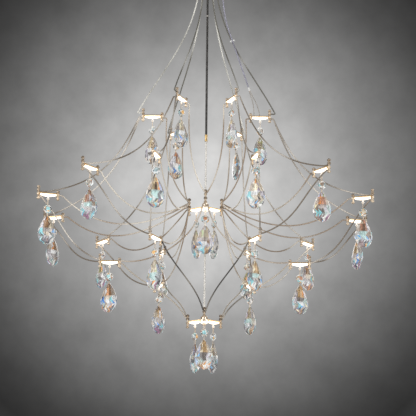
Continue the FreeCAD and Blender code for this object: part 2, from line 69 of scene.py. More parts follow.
def placed(name, data):
    # a new object in the scene
    thing = bpy.data.objects.new(name, data)
    bpy.context.scene.collection.objects.link(thing)
    return thing


camera = {
    "distance": 3.015,        # metres from the hub
    "climb": 18.65,           # degrees upward
    "roll": 0.62,
    "aimRight": 2.6 / 1773,   # picture pixels over the focal length in pixels
    "lens": 153.43,
    "sensor": 36.0,
    "near": 0.05,
    "far": 50.0,
}


def setCamera():
    # at the hub from below, turned a hair to the right and rolled with the photograph
    climb, roll = math.radians(camera["climb"]), math.radians(camera["roll"])
    forward = Vector((0, math.cos(climb), math.sin(climb)))
    right, up = Vector((1, 0, 0)), Vector((0, -math.sin(climb), math.cos(climb)))
    place = Vector((0, 0, levels["hub"] / 1000)) - forward * camera["distance"]
    aim = (forward + right * camera["aimRight"]).normalized()
    across = right * math.cos(roll) + up * math.sin(roll)
    across = (across - aim * across.dot(aim)).normalized()
    lift = across.cross(aim)
    data = bpy.data.cameras.new("camera")
    data.lens = camera["lens"]
    data.sensor_width = camera["sensor"]
    data.clip_start, data.clip_end = camera["near"], camera["far"]
    eye = placed("camera", data)
    eye.matrix_world = Matrix((
        (across.x, lift.x, -aim.x, place.x),
        (across.y, lift.y, -aim.y, place.y),
        (across.z, lift.z, -aim.z, place.z),
        (0, 0, 0, 1)))
    bpy.context.scene.camera = eye


lampAim = (0, 0, -0.45)
lamps = {
    # name: place, width, height, watts
    "keyPanel": ((-2.2, -1.9, 0.6), 2.8, 2.8, 42),
    "fillPanel": ((2.4, -1.5, -0.2), 2.4, 2.8, 26),
    "backPanel": ((0.3, 2.4, 0.5), 3.0, 1.8, 24),
    "lowPanel": ((0.2, -1.6, -2.0), 2.2, 1.4, 15),
}


def setLamps():
    for name, (place, width, height, watts) in lamps.items():
        data = bpy.data.lights.new(name, "AREA")
        data.shape = "RECTANGLE"
        data.size, data.size_y = width, height
        data.energy = watts
        lamp = placed(name, data)
        lamp.location = place
        way = Vector(lampAim) - Vector(place)
        lamp.rotation_euler = way.to_track_quat("-Z", "Y").to_euler()


def spreadOut(tree, noise, low, high):
    # the middle of a noise's range, 0.3 to 0.7, spread from low to high
    spread = tree.nodes.new("ShaderNodeMapRange")
    spread.inputs["From Min"].default_value = 0.3
    spread.inputs["From Max"].default_value = 0.7
    spread.inputs["To Min"].default_value = low
    spread.inputs["To Max"].default_value = high
    tree.links.new(noise.outputs["Fac"], spread.inputs["Value"])
    return spread.outputs["Result"]


backdrop = {
    # degrees from the middle of the glow, and the grey there
    "greys": [(0.0, 0.69), (1.2, 0.64), (2.0, 0.575), (2.8, 0.51), (3.6, 0.435), (4.4, 0.345),
              (5.2, 0.265), (6.0, 0.20), (6.8, 0.142), (7.6, 0.089), (8.4, 0.053), (9.3, 0.03),
              (13.0, 0.10), (20.0, 0.30)],
    "warmth": (1.0, 0.995, 0.985),
    "rise": 0.45,             # degrees that the glow's middle lies above the camera's climb
    "cloudScale": 55.0,
    "cloudDetail": 7,
    "cloudRoughness": 0.6,
    "cloudShare": 0.10,
}


def setWorld():
    # a grey wall with a soft glow behind the chandelier: its grey goes by the angle between the
    # view's direction and the middle of the glow, and is clouded by faint noise
    world = bpy.data.worlds.new("studio")
    bpy.context.scene.world = world
    world.use_nodes = True
    tree = world.node_tree
    node, link = tree.nodes, tree.links
    node.clear()
    direction = node.new("ShaderNodeTexCoord")
    climb = math.radians(camera["climb"] + backdrop["rise"])
    dot = node.new("ShaderNodeVectorMath")
    dot.operation = "DOT_PRODUCT"
    dot.inputs[1].default_value = (0, math.cos(climb), math.sin(climb))
    link.new(direction.outputs["Generated"], dot.inputs[0])
    angle = node.new("ShaderNodeMath")
    angle.operation = "ARCCOSINE"
    link.new(dot.outputs["Value"], angle.inputs[0])
    reach = backdrop["greys"][-1][0]
    share = node.new("ShaderNodeMath")
    share.operation = "DIVIDE"
    share.inputs[1].default_value = math.radians(reach)
    share.use_clamp = True
    link.new(angle.outputs[0], share.inputs[0])
    ramp = node.new("ShaderNodeValToRGB")
    stops = ramp.color_ramp.elements
    stops.remove(stops[1])
    for number, (degrees, grey) in enumerate(backdrop["greys"]):
        stop = stops[0] if number == 0 else stops.new(degrees / reach)
        stop.position = degrees / reach
        stop.color = (*(grey * part for part in backdrop["warmth"]), 1)
    link.new(share.outputs[0], ramp.inputs["Fac"])
    mottledLight = node.new("ShaderNodeTexNoise")
    mottledLight.inputs["Scale"].default_value = backdrop["cloudScale"]
    mottledLight.inputs["Detail"].default_value = backdrop["cloudDetail"]
    mottledLight.inputs["Roughness"].default_value = backdrop["cloudRoughness"]
    link.new(direction.outputs["Generated"], mottledLight.inputs["Vector"])
    scaled = node.new("ShaderNodeVectorMath")
    scaled.operation = "SCALE"
    link.new(ramp.outputs["Color"], scaled.inputs[0])
    link.new(spreadOut(tree, mottledLight, 1 - backdrop["cloudShare"], 1 + backdrop["cloudShare"]),
             scaled.inputs["Scale"])
    surface = node.new("ShaderNodeBackground")
    link.new(scaled.outputs["Vector"], surface.inputs["Color"])
    out = node.new("ShaderNodeOutputWorld")
    link.new(surface.outputs[0], out.inputs["Surface"])
    bpy.context.scene.view_settings.view_transform = "Standard"


setCamera()
setLamps()
setWorld()
print("camera, lamps and backdrop set")


# A shell is a pair: its points, and a list of face arrays that hold point numbers.


def roundSteps(count):
    # the angles of a full turn in equal steps
    return np.arange(count) * 2 * math.pi / count


def bandFaces(rows, columns):
    # quads between neighbouring rows of a grid whose columns close on themselves
    i, j = np.arange(rows - 1)[:, None], np.arange(columns)[None, :]
    k = (j + 1) % columns
    here, after = i * columns, (i + 1) * columns
    return np.stack([here + j, here + k, after + k, after + j], -1).reshape(-1, 4)


def closedGrid(points):
    # rows of rings, with a pole in the middle of the first and of the last ring
    rows, columns = points.shape[:2]
    poles = np.stack([points[0].mean(0), points[-1].mean(0)])
    j = np.arange(columns)
    k = (j + 1) % columns
    first, last, lastRow = rows * columns, rows * columns + 1, (rows - 1) * columns
    head = np.stack([np.full(columns, first), k, j], -1)
    tail = np.stack([np.full(columns, last), lastRow + j, lastRow + k], -1)
    return np.concatenate([points.reshape(-1, 3), poles]), [bandFaces(rows, columns), head, tail]


def loopGrid(points):
    # rows of rings whose last row joins the first
    rows, columns = points.shape[:2]
    return points.reshape(-1, 3), [bandFaces(rows + 1, columns) % (rows * columns)]


def joined(shells):
    # one shell from several, each with its point numbers moved on
    points, faces, first = [], [], 0
    for shellPoints, shellFaces in shells:
        points.append(shellPoints)
        faces += [block + first for block in shellFaces]
        first += len(shellPoints)
    return np.concatenate(points), faces


def faceCount(shell):
    return sum(len(block) for block in shell[1])


def middles(shell):
    # the middle of every face
    return np.concatenate([shell[0][block].mean(1) for block in shell[1]])


def materialIndex(*shells):
    # the first material for the faces of the first shell, the second for those of the second
    return np.repeat(np.arange(len(shells)), [faceCount(shell) for shell in shells])


def spunGrid(profile, sides):
    # (radius, height) pairs turned about Z: x = r cos t, y = r sin t
    profile = np.asarray(profile, float)
    t = roundSteps(sides)
    r, z = profile[:, :1], profile[:, 1:]
    return np.stack([r * np.cos(t), r * np.sin(t), z + 0 * t], -1)


def lathe(profile, sides):
    return closedGrid(spunGrid(profile, sides))


def tube(path, across, radius, sides):
    # a circle carried along a path that lies in one plane, square to the vector across
    way = np.gradient(path, axis=0)
    way /= np.linalg.norm(way, axis=1, keepdims=True)
    lift = np.cross(way, across)
    t = roundSteps(sides)[None, :, None]
    return closedGrid(path[:, None] + radius * (across * np.cos(t) + lift[:, None] * np.sin(t)))


def roundLoop(halfWide, halfHigh, thick, steps=28, sides=8):
    # a closed oval of wire in the XZ plane: a circle carried round an ellipse that is pulled
    # apart upward, so that its sides run straight
    t = roundSteps(steps)
    pulled = (halfHigh - halfWide) * np.clip(np.sin(t) * 1.5, -1, 1)
    centre = np.stack([halfWide * np.cos(t), 0 * t, pulled + halfWide * np.sin(t)], -1)
    way = np.roll(centre, -1, 0) - np.roll(centre, 1, 0)
    way /= np.linalg.norm(way, axis=1, keepdims=True)
    side = np.array([0.0, 1.0, 0.0])
    lift = np.cross(way, side)[:, None]
    u = roundSteps(sides)[None, :, None]
    return loopGrid(centre[:, None] + thick * (side * np.cos(u) + lift * np.sin(u)))


def moved(shell, offset):
    return shell[0] + np.asarray(offset, float), shell[1]


def turnedTo(shell, angle, place):
    # turned about Z by an angle in degrees, then moved
    c, s = math.cos(math.radians(angle)), math.sin(math.radians(angle))
    turn = np.array([[c, -s, 0], [s, c, 0], [0, 0, 1.0]])
    return moved((shell[0] @ turn.T, shell[1]), place)


def outOf(shell):
    # every face of a convex solid turned so that it points away from the solid's middle
    points, faces = shell
    heart = points.mean(0)
    facing = []
    for block in faces:
        a, b, c = (points[block[:, n]] for n in (0, 1, 2))
        away = points[block].mean(1) - heart
        flip = (np.cross(b - a, c - a) * away).sum(1) < 0
        facing.append(np.where(flip[:, None], block[:, ::-1], block))
    return points, facing


def made(name, shell, materials, body, nodes, sharp=35, faceMaterial=None, facetColour=None):
    # the mesh in metres, riding on its body in place of the CAD nodes
    points, faces = shell
    mesh = bpy.data.meshes.new(name)
    rows = [row for block in faces for row in block.tolist()]
    mesh.from_pydata((points / 1000).tolist(), [], rows)
    for material in materials:
        mesh.materials.append(material)
    if faceMaterial is not None:
        mesh.polygons.foreach_set("material_index", np.asarray(faceMaterial, np.int32))
    if facetColour is not None:
        layer = mesh.color_attributes.new("facetColour", "FLOAT_COLOR", "CORNER")
        counts = np.concatenate([np.full(len(block), block.shape[1]) for block in faces])
        corners = np.repeat(facetColour, counts, axis=0).astype(np.float32)
        layer.data.foreach_set("color", corners.ravel())
    mesh.shade_smooth()
    mesh.set_sharp_from_angle(angle=math.radians(sharp))
    mesh.validate()
    piece = placed(name, mesh)
    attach(piece, body)
    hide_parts(*nodes)
    return piece


def finish(name, colour, metallic=0.0, roughness=0.4):
    # a plain shader to which each material adds its own detail
    material = bpy.data.materials.new(name)
    material.use_nodes = True
    shader = material.node_tree.nodes["Principled BSDF"]
    shader.inputs["Base Color"].default_value = (*colour, 1)
    shader.inputs["Metallic"].default_value = metallic
    shader.inputs["Roughness"].default_value = roughness
    return material, material.node_tree, shader


def noiseOn(tree, scale, detail=3.0, stretch=None):
    # noise on the object's own coordinates, in metres
    where = tree.nodes.new("ShaderNodeTexCoord")
    noise = tree.nodes.new("ShaderNodeTexNoise")
    noise.inputs["Scale"].default_value = scale
    noise.inputs["Detail"].default_value = detail
    if stretch is None:
        tree.links.new(where.outputs["Object"], noise.inputs["Vector"])
    else:
        mapping = tree.nodes.new("ShaderNodeMapping")
        mapping.inputs["Scale"].default_value = stretch
        tree.links.new(where.outputs["Object"], mapping.inputs["Vector"])
        tree.links.new(mapping.outputs["Vector"], noise.inputs["Vector"])
    return noise


def faceColour(tree):
    # the colour that each face of the mesh carries
    colour = tree.nodes.new("ShaderNodeAttribute")
    colour.attribute_name = "facetColour"
    return colour


def ramped(tree, source, low, high, edges=(0.35, 0.65)):
    # the colour goes from low to high while the source goes from one edge to the other
    ramp = tree.nodes.new("ShaderNodeValToRGB")
    for stop, edge, colour in zip(ramp.color_ramp.elements, edges, (low, high)):
        stop.position = edge
        stop.color = (*colour, 1)
    tree.links.new(source.outputs[0], ramp.inputs["Fac"])
    return ramp.outputs["Color"]


def tinted(tree, shader, source, low, high, edges=(0.35, 0.65)):
    tree.links.new(ramped(tree, source, low, high, edges), shader.inputs["Base Color"])


def roughened(tree, shader, noise, low, high):
    tree.links.new(spreadOut(tree, noise, low, high), shader.inputs["Roughness"])


def bumped(tree, shader, noise, strength, distance):
    bump = tree.nodes.new("ShaderNodeBump")
    bump.inputs["Strength"].default_value = strength
    bump.inputs["Distance"].default_value = distance
    tree.links.new(noise.outputs["Fac"], bump.inputs["Height"])
    tree.links.new(bump.outputs["Normal"], shader.inputs["Normal"])


def champagneMetal(name, low, high, rough=(0.34, 0.46)):
    # plated metal, a little uneven in tone, with a fine grain
    material, tree, shader = finish(name, high, metallic=1.0)
    tinted(tree, shader, noiseOn(tree, 120), low, high)
    grain = noiseOn(tree, 900, detail=4)
    roughened(tree, shader, grain, *rough)
    bumped(tree, shader, grain, strength=0.12, distance=0.0002)
    return material


def litMetal(name, low, high):
    # the same metal where lenses light it: the colour of a face says how strongly
    material = champagneMetal(name, low, high)
    tree = material.node_tree
    shader = tree.nodes["Principled BSDF"]
    tree.links.new(faceColour(tree).outputs["Fac"], shader.inputs["Emission Strength"])
    shader.inputs["Emission Color"].default_value = (1.0, 0.90, 0.76, 1)
    return material


def wireFinish(name, low, high):
    # bent wire: long streaks between bronze and pale champagne, partly random tone and partly
    # painted highlight, shifted by each wire's painted highlight and shade
    material, tree, shader = finish(name, high, metallic=0.5)
    streak = tree.nodes.new("ShaderNodeMath")
    streak.operation = "MULTIPLY_ADD"
    streak.inputs[1].default_value = 0.5      # share of the painted highlight and shade; the noise adds the rest
    tree.links.new(faceColour(tree).outputs["Fac"], streak.inputs[0])
    tree.links.new(noiseOn(tree, 13, detail=1).outputs["Fac"], streak.inputs[2])
    tinted(tree, shader, streak, low, high, edges=(0.62, 0.86))
    roughened(tree, shader, noiseOn(tree, 500, detail=2), 0.40, 0.52)
    return material


def canopyPaint():
    # sprayed enamel with a fine peel
    material, tree, shader = finish("canopyPaint", (0.80, 0.78, 0.74))
    tinted(tree, shader, noiseOn(tree, 14), (0.76, 0.74, 0.70), (0.82, 0.80, 0.76))
    peel = noiseOn(tree, 700, detail=2)
    roughened(tree, shader, peel, 0.34, 0.46)
    bumped(tree, shader, peel, strength=0.15, distance=0.0004)
    return material


def zincSteel():
    # plated sheet with lengthwise brushing
    material, tree, shader = finish("zincSteel", (0.62, 0.63, 0.65), metallic=1.0)
    brushed = noiseOn(tree, 60, detail=4, stretch=(1, 30, 30))
    tinted(tree, shader, brushed, (0.50, 0.51, 0.53), (0.68, 0.69, 0.71))
    roughened(tree, shader, brushed, 0.28, 0.48)
    return material


def lensGlow():
    # opal lens, lit from inside, a little warmer in patches
    material, tree, shader = finish("lensGlow", (0.98, 0.93, 0.84), roughness=0.35)
    patches = ramped(tree, noiseOn(tree, 170, detail=1), (1.0, 0.62, 0.32), (1.0, 0.93, 0.80),
                     edges=(0.30, 0.48))
    tree.links.new(patches, shader.inputs["Emission Color"])
    shader.inputs["Emission Strength"].default_value = 2.2
    return material


def lugPaintedGlow():
    # metal painted near white with a faint emission: painted light from the lens above
    material, tree, shader = finish("lugPaintedGlow", (0.96, 0.92, 0.85), metallic=0.2, roughness=0.25)
    tinted(tree, shader, noiseOn(tree, 300), (0.90, 0.80, 0.66), (0.98, 0.96, 0.92))
    shader.inputs["Emission Color"].default_value = (1.0, 0.90, 0.78, 1)
    shader.inputs["Emission Strength"].default_value = 0.45
    return material


def crystalGlass():
    # coated cut glass: every facet has its own tint and its own share of clearness, a mottle of
    # painted internal reflections and a faint painted glow
    material, tree, shader = finish("crystalGlass", (0.95, 0.96, 1.0), roughness=0.03)
    facet = faceColour(tree)
    # noise that lightens and darkens every facet: painted internal reflections
    mottledLight = noiseOn(tree, 420, detail=2, stretch=(1, 1, 0.3))
    shade = tree.nodes.new("ShaderNodeVectorMath")
    shade.operation = "SCALE"
    tree.links.new(facet.outputs["Color"], shade.inputs[0])
    tree.links.new(spreadOut(tree, mottledLight, 0.68, 1.32), shade.inputs["Scale"])
    tree.links.new(shade.outputs["Vector"], shader.inputs["Base Color"])
    tree.links.new(shade.outputs["Vector"], shader.inputs["Emission Color"])
    tree.links.new(facet.outputs["Alpha"], shader.inputs["Transmission Weight"])
    # faint emission in the facets' colour: painted glow of the lens light, though the glass is no
    # lamp
    shader.inputs["Emission Strength"].default_value = 0.05
    shader.inputs["IOR"].default_value = 1.3
    shader.inputs["Coat Weight"].default_value = 0.8
    shader.inputs["Coat IOR"].default_value = 1.6
    return material


def clearCable(name, low, high, clearness):
    # clear sheath over strands that show as uneven colour
    material, tree, shader = finish(name, high, roughness=0.5)
    tinted(tree, shader, noiseOn(tree, 220), low, high)
    shader.inputs["Transmission Weight"].default_value = clearness
    return material


def whitePlastic():
    # moulded plastic with a faint grain
    material, tree, shader = finish("whitePlastic", (0.9, 0.9, 0.88), roughness=0.4)
    grain = noiseOn(tree, 1500, detail=2)
    roughened(tree, shader, grain, 0.35, 0.5)
    bumped(tree, shader, grain, strength=0.1, distance=0.0002)
    return material


paint = canopyPaint()
zinc = zincSteel()
champagne = champagneMetal("champagneMetal", (0.70, 0.56, 0.41), (0.92, 0.79, 0.63))
coreMetal = litMetal("coreMetal", (0.70, 0.56, 0.41), (0.92, 0.79, 0.63))
barMetal = champagneMetal("barMetal", (0.92, 0.58, 0.26), (1.0, 0.76, 0.44), (0.22, 0.34))
postMetal = champagneMetal("postMetal", (0.68, 0.53, 0.38), (0.94, 0.81, 0.64), (0.36, 0.50))
capMetal = champagneMetal("capMetal", (0.30, 0.235, 0.175), (0.52, 0.42, 0.32), (0.34, 0.48))
rodMetal = champagneMetal("rodMetal", (0.40, 0.38, 0.35), (0.64, 0.61, 0.57), (0.26, 0.38))
darkMetal = champagneMetal("darkMetal", (0.055, 0.053, 0.05), (0.10, 0.095, 0.09), (0.25, 0.4))
brassMetal = champagneMetal("brassMetal", (0.78, 0.52, 0.22), (0.88, 0.66, 0.34), (0.12, 0.24))
lowerRodMetal = champagneMetal("lowerRodMetal", (0.66, 0.63, 0.58), (0.86, 0.83, 0.78), (0.2, 0.3))
# copies of one wire metal: paler on the hub's wires as painted highlight, more neutral on the
# suspension wires, darker on the wires to the base
wireMetal = wireFinish("wireMetal", (0.26, 0.215, 0.17), (0.81, 0.75, 0.67))
hubWireHighlit = wireFinish("hubWireHighlit", (0.44, 0.35, 0.27), (0.96, 0.89, 0.78))
suspensionMetal = wireFinish("suspensionMetal", (0.22, 0.21, 0.18), (0.93, 0.91, 0.84))
baseWireMetal = wireFinish("baseWireMetal", (0.11, 0.10, 0.09), (0.64, 0.57, 0.48))
opalLens = lensGlow()
lugMetal = lugPaintedGlow()
crystal = crystalGlass()
cableSkin = clearCable("cableSkin", (0.39, 0.38, 0.46), (0.50, 0.49, 0.58), clearness=0.5)
leadSkin = clearCable("leadSkin", (0.42, 0.38, 0.33), (0.56, 0.51, 0.45), clearness=0.4)
plastic = whitePlastic()
print("materials made")

canopy = {"rim": 60.0, "high": 26.0, "wall": 1.2, "corner": 3.0, "bore": 5.05,
          "gap": 0.05, "lip": 2.2, "ease": 0.4}


def canopyShell():
    # a spun cup: its profile is a rounded corner between floor and wall, with a folded rim on
    # the ceiling
    t = np.linspace(0, math.pi / 2, 7)
    r, c = canopy["rim"] - canopy["gap"], canopy["corner"]
    wall, floorLevel = canopy["wall"], -canopy["high"]
    outer = np.stack([r - c + c * np.sin(t), floorLevel + c - c * np.cos(t)], -1)
    inner = np.stack([r - c + (c - wall) * np.sin(t), floorLevel + c - (c - wall) * np.cos(t)], -1)
    lip, ease = canopy["lip"], canopy["ease"]
    rim = [(r, -lip), (r, -ease), (r - ease, 0), (r - lip + ease, 0), (r - lip, -ease),
           (r - wall, -lip)]
    bore = [[(canopy["bore"], level)] for level in (floorLevel, floorLevel + wall)]
    return loopGrid(spunGrid(np.concatenate([bore[0], outer, rim, inner[::-1], bore[1]]), 96))


made("ceilingCanopy", canopyShell(), [paint], "frame", ["ceiling_canopy"])

collar = {
    "radius": 17.0, "top": -canopy["high"], "high": 9.0,
    # in from the edge and down from the top: chamfer, groove and soft lower corner
    "edge": [(0.8, 0), (0, 0.8), (0, 2.6), (0.5, 3.0), (0.5, 3.6), (0, 4.0), (0, 7.4), (0.5, 8.5),
             (1.6, 9.0)],
    "middle": [4.2, 3.6],
}


def collarShell():
    # a turned disc from its middle below, round its edge, to the top
    edge = [(collar["radius"] - inset, collar["top"] - down) for inset, down in collar["edge"]]
    middle = [(radius, collar["top"] - collar["high"]) for radius in collar["middle"]]
    return lathe((edge + middle)[::-1], 72)


made("canopyCollar", collarShell(), [champagne], "frame", ["canopy_collar"])

rods = {
    "upper": 2.0, "lower": 1.6,                      # radii
    "joint": -369.5, "foot": -693.0, "sunk": 0.5,    # sunk: depth of the lower rod in its ferrule
    "seam": -133.0,
    # out from the upper rod's skin, and up
    "seamProfile": [(-0.2, -1.1), (0.12, -0.7), (0.12, 0.7), (-0.2, 1.1)],
}
ferrule = {
    "radius": 2.6, "high": 12.5, "waist": 0.45, "waistFrom": 2.2,
    # in from the radius, and along from either end
    "end": [(0.7, 0), (0, 0.5), (0, 1.6), (0.25, 1.9)],
}
ferruleTop = rods["joint"] + ferrule["high"]
upperEnds = (ferruleTop, collar["top"] - collar["high"])
upperRod = lathe([(rods["upper"], level) for level in upperEnds], 28)
seamRing = lathe(np.array(rods["seamProfile"]) + (rods["upper"], rods["seam"]), 28)
made("upperRod", joined([upperRod, seamRing]), [darkMetal, rodMetal], "frame", ["upper_rod"],
     faceMaterial=materialIndex(upperRod, seamRing))
lowerEnds = (rods["foot"], rods["joint"] + rods["sunk"])
made("lowerRod", lathe([(rods["lower"], level) for level in lowerEnds], 20), [lowerRodMetal],
     "frame", ["lower_rod"])


def ferruleShell():
    # a turned sleeve: a bead at each end, and a waist between them whose radius falls by
    # waist * sin(pi t)
    t = np.linspace(0, 1, 9)
    r, start = ferrule["radius"], ferrule["waistFrom"]
    heights = rods["joint"] + start + (ferrule["high"] - 2 * start) * t
    waist = np.stack([r - ferrule["waist"] * np.sin(math.pi * t), heights], -1)
    head = [(r - inset, rods["joint"] + along) for inset, along in ferrule["end"]]
    tail = [(r - inset, ferruleTop - along) for inset, along in reversed(ferrule["end"])]
    return lathe(np.concatenate([head, waist, tail]), 28)


made("rodFerrule", ferruleShell(), [brassMetal], "frame", ["rod_ferrule"])

core = {
    "radius": 5.8, "below": 5.0, "above": 7.0, "chamfer": 0.6,
    "litTo": 1.5, "glow": 1.3,       # the lower part stands between the ends of three lenses
    "button": [(2.4, 7.0), (2.2, 8.4), (1.3, 9.0)],
}
baseNut = {"radius": 3.0, "high": 3.0, "button": [(1.3, -3.6), (2.2, -3.2), (2.4, -2.9)]}


def hexBlock(radius, low, high, chamfer=0.5):
    # six flats with a chamfer above and below
    return lathe([(radius - chamfer, low), (radius, low + chamfer), (radius, high - chamfer),
                  (radius - chamfer, high)], 6)


def coreShell(level):
    # six flats between chamfers, parted where the light ends, under a low button
    r, c = core["radius"], core["chamfer"]
    low, high = level - core["below"], level + core["above"]
    flats = [(r - c, low), (r, low + c), (r, level + core["litTo"]), (r, high - c), (r - c, high)]
    button = [(radius, level + up) for radius, up in core["button"]]
    return joined([lathe(flats, 6), lathe(button, 20)])


for name, node, level in (("hubCore", "hub_core", levels["hub"]),
                          ("baseCore", "base_core", levels["base"])):
    shell = coreShell(level)
    glow = core["glow"] * (middles(shell)[:, 2:] < level + core["litTo"])
    made(name, shell, [coreMetal], "frame", [node], sharp=20,
         facetColour=np.repeat(glow, 4, axis=1))
nutTop = levels["base"] - core["below"]
nutButton = [(radius, nutTop + up) for radius, up in baseNut["button"]]
made("baseNut", joined([hexBlock(baseNut["radius"], nutTop - baseNut["high"], nutTop),
                        lathe(nutButton, 20)]),
     [champagne], "frame", ["base_nut"], sharp=20)
print("canopy, collar, rods and cores made")


bar = {
    "long": 29.016, "hubLong": 21.98, "wide": 5.4, "top": 2.7, "corner": 0.7,
    "split": 0.9, "lap": 0.6,                        # where the lens begins below the spine
    "endHalf": 0.5, "endFloor": -1.5,                # the turned-down metal ends
    "spineEase": 0.3, "endEase": 0.15,
    "belly": 3.5, "lensWide": 5.2, "lensCorner": 1.2, "lensInset": 0.9,
    "slimDeep": 0.45, "slimWide": 0.86,              # depth and width left at the lens's ends
}


def roundedSection(halfWide, low, high, corner, steps=4):
    # a rectangle in the YZ plane with rounded corners
    t = np.linspace(0, math.pi / 2, steps)
    right, left = halfWide - corner, corner - halfWide
    corners = [(right, low + corner, -math.pi / 2), (right, high - corner, 0),
               (left, high - corner, math.pi / 2), (left, low + corner, math.pi)]
    return np.concatenate([np.stack([y + corner * np.cos(t + a), z + corner * np.sin(t + a)], -1)
                           for y, z, a in corners])


def prismAlong(section, halfLong, ease):
    # the section carried along X, drawn in a little at both ends
    rows = [(-halfLong, ease), (-halfLong + ease, 0), (halfLong - ease, 0), (halfLong, ease)]
    middle = section.mean(0)
    spread = section - middle
    half = np.abs(spread).max(0)
    grid = [np.concatenate([np.full((len(section), 1), x), middle + spread * (1 - pull / half)], 1)
            for x, pull in rows]
    return closedGrid(np.stack(grid))


def boatLens(halfLong):
    # the lens hangs deepest in its middle: with s from end to end,
    # depth and width = full * (slim + (1 - slim) * (1 - s^2))
    split = bar["split"]
    section = roundedSection(bar["lensWide"] / 2, -bar["belly"], split, bar["lensCorner"], 5)
    s = np.linspace(-1, 1, 13)[:, None]
    depth = bar["slimDeep"] + (1 - bar["slimDeep"]) * (1 - s ** 2)
    width = bar["slimWide"] + (1 - bar["slimWide"]) * (1 - s ** 2)
    y = section[:, 0] * width
    z = split - (split - section[:, 1]) * depth
    return closedGrid(np.stack([np.broadcast_to(s * halfLong, y.shape), y, z], -1))


def barShells(halfLong):
    # metal spine above, turned-down metal ends, and the boat-shaped opal lens between them
    halfWide, split, endHalf = bar["wide"] / 2, bar["split"], bar["endHalf"]
    spine = roundedSection(halfWide, split - bar["lap"], bar["top"], bar["corner"])
    end = roundedSection(halfWide, bar["endFloor"], split, bar["corner"])
    metal = [prismAlong(spine, halfLong, bar["spineEase"])]
    endShell = prismAlong(end, endHalf, bar["endEase"])
    metal += [moved(endShell, (side * (halfLong - endHalf), 0, 0)) for side in (-1, 1)]
    return metal, boatLens(halfLong - bar["lensInset"])


def barsAt(name, node, places, long):
    metal, glow = [], []
    spine, lens = barShells(long / 2)
    for middle, angle, level in places:
        place = spot(middle, angle, level)
        metal += [turnedTo(part, angle - 90, place) for part in spine]
        glow.append(turnedTo(lens, angle - 90, place))
    metal, glow = joined(metal), joined(glow)
    made(name, joined([metal, glow]), [barMetal, opalLens], "frame", [node], sharp=40,
         faceMaterial=materialIndex(metal, glow))


for kind, (radius, angles, level) in rings.items():
    barsAt("lightBars" + kind.capitalize(), "light_bars_" + kind,
           [(radius, angle, level) for angle in angles], bar["long"])

post = {
    "radius": 1.75, "pitch": 0.9, "thread": 0.16, "foot": -9.5,
    "outer": 15.0, "inner": 8.0, "hub": 22.5,        # tops of the three kinds
    "cadRadius": 2.3, "turn": 30,
    "nut": 2.95, "footHigh": 3.2, "capHigh": 4.2, "domeHigh": 1.1, "domeIn": 0.9,
    "clampHalf": 1.6, "lockNut": (5.0, 8.6), "hubNut": (12.4, 15.4),
}
# the hub's bars reach from the core's flat to the flat of the post
flatShare = math.cos(math.pi / 6)
hubMiddle = (core["radius"] * flatShare + radii["hubPost"] - post["cadRadius"] * flatShare) / 2
barsAt("lightBarsHubs", "light_bars_hubs",
       [(hubMiddle, angle, levels[hub]) for hub in ("hub", "base") for angle in hubAngles],
       bar["hubLong"])


def threadedShaft(low, high):
    # a stud whose radius rises and falls with the thread's pitch
    z = np.arange(low, high, post["pitch"] / 2)
    r = post["radius"] - post["thread"] * (np.arange(len(z)) % 2)
    return lathe(np.stack([r, z], -1), 14)


def capNut(low, high):
    # a six-sided nut under a low dome
    t = np.linspace(0, math.pi / 2, 5)[:-1]
    shoulder = high - post["domeHigh"]
    dome = np.stack([(post["nut"] - post["domeIn"]) * np.cos(t),
                     shoulder + post["domeHigh"] * np.sin(t)], -1)
    return joined([hexBlock(post["nut"], low, shoulder, 0.45), lathe(dome, 18)])


def postShells(kind, place, angle):
    # stud, foot nut and clamp nuts, and apart from them the dark cap
    top, footHigh, clamp = post[kind], post["footHigh"], post["clampHalf"]
    points, faces = capNut(0, footHigh)
    foot = moved((points * np.array([1, -1, -1]), faces), (0, 0, post["foot"] + footHigh))
    bright = [threadedShaft(post["foot"] + 1, top - 1.5), foot,
              hexBlock(post["nut"] - 0.2, -clamp, clamp, 0.4)]
    dark = [capNut(top - post["capHigh"], top)]
    if kind != "inner":
        dark.append(hexBlock(post["nut"], *post["lockNut"], 0.45))
    if kind == "hub":
        bright.append(hexBlock(post["nut"] - 0.3, *post["hubNut"], 0.45))
    return [[turnedTo(part, angle - 90 + post["turn"], place) for part in group]
            for group in (bright, dark)]


def postsAt(name, node, places):
    groups = [postShells(kind, spot(radius, angle, level), angle)
              for kind, radius, angle, level in places]
    bright, dark = (joined([part for group in groups for part in group[n]]) for n in (0, 1))
    made(name, joined([bright, dark]), [postMetal, capMetal], "frame", [node],
         sharp=28, faceMaterial=materialIndex(bright, dark))


for kind, (radius, angles, level) in rings.items():
    postsAt("posts" + kind.capitalize(), "posts_" + kind,
            [(side, radius + way * radii["halfSpan"], angle, level)
             for angle in angles for side, way in (("outer", 1), ("inner", -1))])
postsAt("postsHubs", "posts_hubs",
        [(kind, radii["hubPost"], angle, levels[hub])
         for hub, kind in (("hub", "hub"), ("base", "outer")) for angle in hubAngles])
print("light bars and posts made")


